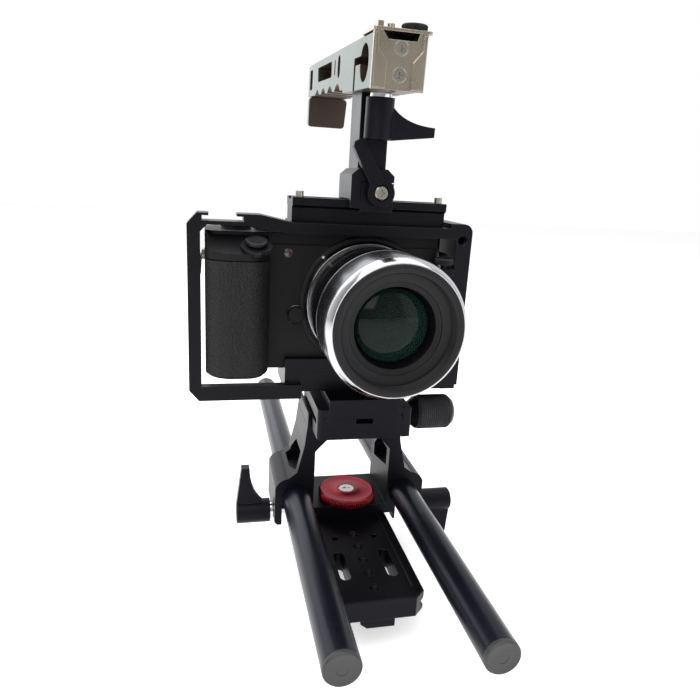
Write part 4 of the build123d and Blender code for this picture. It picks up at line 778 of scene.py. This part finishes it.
# ---------------------------------------------------------------- cage and handle
def make_cage_details():
    low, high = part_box("cage_frame")
    for i, z in enumerate(CAGE_SIDE_HOLES):
        place = (high.x - 0.3 * MM, CAGE_SIDE_Y * MM, z * MM)
        thread(f"cage_side_thread_{i + 1}", place, (-1, 0, 0), TAPPED_R, 7.2,
               "camera", "cage", "black_anodised")
    for i, z in enumerate(CAGE_POST_HOLES):
        place = (low.x + 0.3 * MM, CAGE_POST_Y * MM, z * MM)
        thread(f"cage_post_thread_{i + 1}", place, (1, 0, 0), TAPPED_R, 5.2,
               "camera", "cage", "black_anodised")
    thread("cage_front_thread", Vector(CAGE_FRONT_HOLE) * MM, (0, 1, 0), TAPPED_R, 9.0,
           "camera", "cage", "black_anodised")

    centre, low, high = middle("cable_clamp_screw")
    top = (high.z - low.z) / MM
    outline = [(0, 0, 0), (0, 1.1, 0), (0.4, 1.4, 0)]
    outline += [(0.8 + 0.4 * i, 1.45 if i % 2 else 1.2, 0) for i in range(17)]
    outline += [
        (top - 3.2, 1.45, 0), (top - 3.2, 4.1, 0), (top - 2.9, 4.6, 1), (top - 0.5, 4.65, 1),
        (top - 0.1, 4.1, 0),
        (top, 3.6, 0), (top, 1.6, 0), (top - 0.5, 1.2, 0), (top - 0.5, 0, 0),
    ]
    screw = lathe("cable_clamp_knurled", outline, (centre.x, centre.y, low.z), (0, 0, 1), 40, 0.5)
    dress(screw, "cable_clamp", "knob", "dark_knob", "cable_clamp_screw")


def handle_directions():
    joint = joint_named("shoe_lock_turn")
    up = Vector(joint["axis"]).normalized()
    return up, Vector((0, up.z, -up.y)), Vector(joint["pos_m"])


def make_handle_details():
    up, along, shoe = handle_directions()
    stud = Vector(joint_named("handle_wing_turn")["pos_m"])
    handle_base = stud - along * CLAMP_SCREW_ALONG * MM + up * CLAMP_SCREW_DROP * MM
    for i in range(7):
        place = handle_base + along * (48 + 14 * i) * MM + up * 21.1 * MM
        thread(f"handle_thread_{i + 1}", place, -up, TAPPED_R, 3.4, "handle", "handle", "handle_metal")
    knob = lathe("shoe_lock_knurled", [
        (-0.75, 0, 0), (-0.75, 1.4, 0), (0.75, 1.4, 0), (0.75, 4.9, 0), (1.0, 5.4, 1), (3.0, 5.45, 1),
        (3.4, 5.1, 0), (3.65, 4.6, 0), (3.45, 3.4, 0), (3.4, 0, 0),
    ], shoe, up, 44, 0.5)
    dress(knob, "shoe_lock", "knob", "dark_knob", "shoe_lock_knob")
    # two spring fingers of the shoe
    for s in (-1, 1):
        start = handle_base + along * 6 * MM + up * 22.5 * MM + Vector((s * 3.4 * MM, 0, 0))

        def build(bm, start=start):
            rows = []
            for i in range(13):
                f = i / 12
                lift = 0.75 * sin(pi * f) * MM
                mid = start + along * (f * 11.5 * MM) + up * lift
                rows.append([bm.verts.new(mid + Vector((dx * MM, 0, 0)) + up * dz * MM)
                             for dx, dz in ((-1.1, 0), (1.1, 0), (1.1, 0.3), (-1.1, 0.3))])
            for a, b in zip(rows, rows[1:]):
                for i in range(4):
                    bm.faces.new((a[i], a[(i + 1) % 4], b[(i + 1) % 4], b[i]))
            bm.faces.new(rows[0])
            bm.faces.new(rows[-1])

        finger = mesh_piece(f"shoe_spring_{'left' if s < 0 else 'right'}", build)
        dress(finger, "handle", "screw", "steel")


def make_lever_caps():
    """A domed cap with a driver socket in the end of each lever hub."""
    for name, body, joint in (("left", "left_wing_lever", "left_wing_turn"),
                              ("right", "right_wing_lever", "right_wing_turn")):
        data = joint_named(joint)
        low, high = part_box(f"rod_lever_{name}")
        s = -1 if name == "left" else 1
        place = Vector(data["pos_m"])
        place.x = low.x if s < 0 else high.x
        cap = lathe(f"lever_cap_{name}", [
            (-1.2, 0, 0), (-1.2, 4.3, 0), (-0.15, 4.3, 0), (-0.02, 3.9, 0), (-0.02, 2.4, 0), (-0.5, 2.1, 0),
            (-0.5, 0, 0),
        ], place, (s, 0, 0), segments=48)
        dress(cap, body, "dark_screw", "steel")


# ---------------------------------------------------------------- studio
FLOOR_GLOW = 0.38             # lifts the far floor to the wall's white, so no horizon shows


def make_studio():
    low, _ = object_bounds()
    bpy.ops.mesh.primitive_plane_add(size=6, location=(0, 0, low.z - 0.0015))
    floor = bpy.context.object
    floor.name = "floor"
    paper = surface("floor_white", (0.93, 0.93, 0.93), 0.0, 0.8, 300, 0.02, 4, 0.02)
    shader = paper.node_tree.nodes["Principled BSDF"]
    shader.inputs["Emission Color"].default_value = (1, 1, 1, 1)
    shader.inputs["Emission Strength"].default_value = FLOOR_GLOW
    floor.data.materials.append(paper)
    world = bpy.data.worlds.new("studio")
    world.use_nodes = True
    # a white wall behind the rig, and a dimmer room in front of it for the dark finishes
    tree = world.node_tree
    sky = tree.nodes["Background"]
    sky.inputs["Color"].default_value = (1, 1, 1, 1)
    place = tree.nodes.new("ShaderNodeTexCoord")
    parts = tree.nodes.new("ShaderNodeSeparateXYZ")
    wall = tree.nodes.new("ShaderNodeMapRange")
    wall.inputs["From Min"].default_value = 0.05
    wall.inputs["From Max"].default_value = 0.55
    wall.inputs["To Min"].default_value = 0.42
    wall.inputs["To Max"].default_value = 1.0
    link(tree, place.outputs["Generated"], parts.inputs["Vector"])
    link(tree, parts.outputs["Y"], wall.inputs["Value"])
    link(tree, wall.outputs["Result"], sky.inputs["Strength"])
    bpy.context.scene.world = world
    aims = Vector((0, 0.03, 0.12))
    for name, place, size, power, colour in (
        ("key", (-0.55, -0.75, 0.85), 1.1, 11, (1, 0.98, 0.95)),
        ("fill", (0.85, -0.55, 0.45), 1.1, 4, (0.92, 0.95, 1)),
        ("top", (0.05, 0.1, 1.1), 1.3, 11, (1, 1, 1)),
        ("rim", (-0.5, 0.8, 0.6), 1.0, 4, (0.95, 0.97, 1)),
    ):
        light = bpy.data.lights.new(name, "AREA")
        light.size = size
        light.energy = power
        light.color = colour
        lamp = bpy.data.objects.new(name, light)
        bpy.context.scene.collection.objects.link(lamp)
        lamp.location = place
        lamp.rotation_euler = (aims - lamp.location).to_track_quat("-Z", "Y").to_euler()
    bpy.context.scene.view_settings.view_transform = "Standard"


make_camera()
paint_nodes()
make_rod_plugs()
make_plate_threads()
make_lock_knob()
make_clamp_knob()
make_lens()
make_camera_controls()
make_camera_front()
make_camera_rear()
make_strap_rings()
make_cage_details()
make_handle_details()
make_lever_caps()
make_studio()
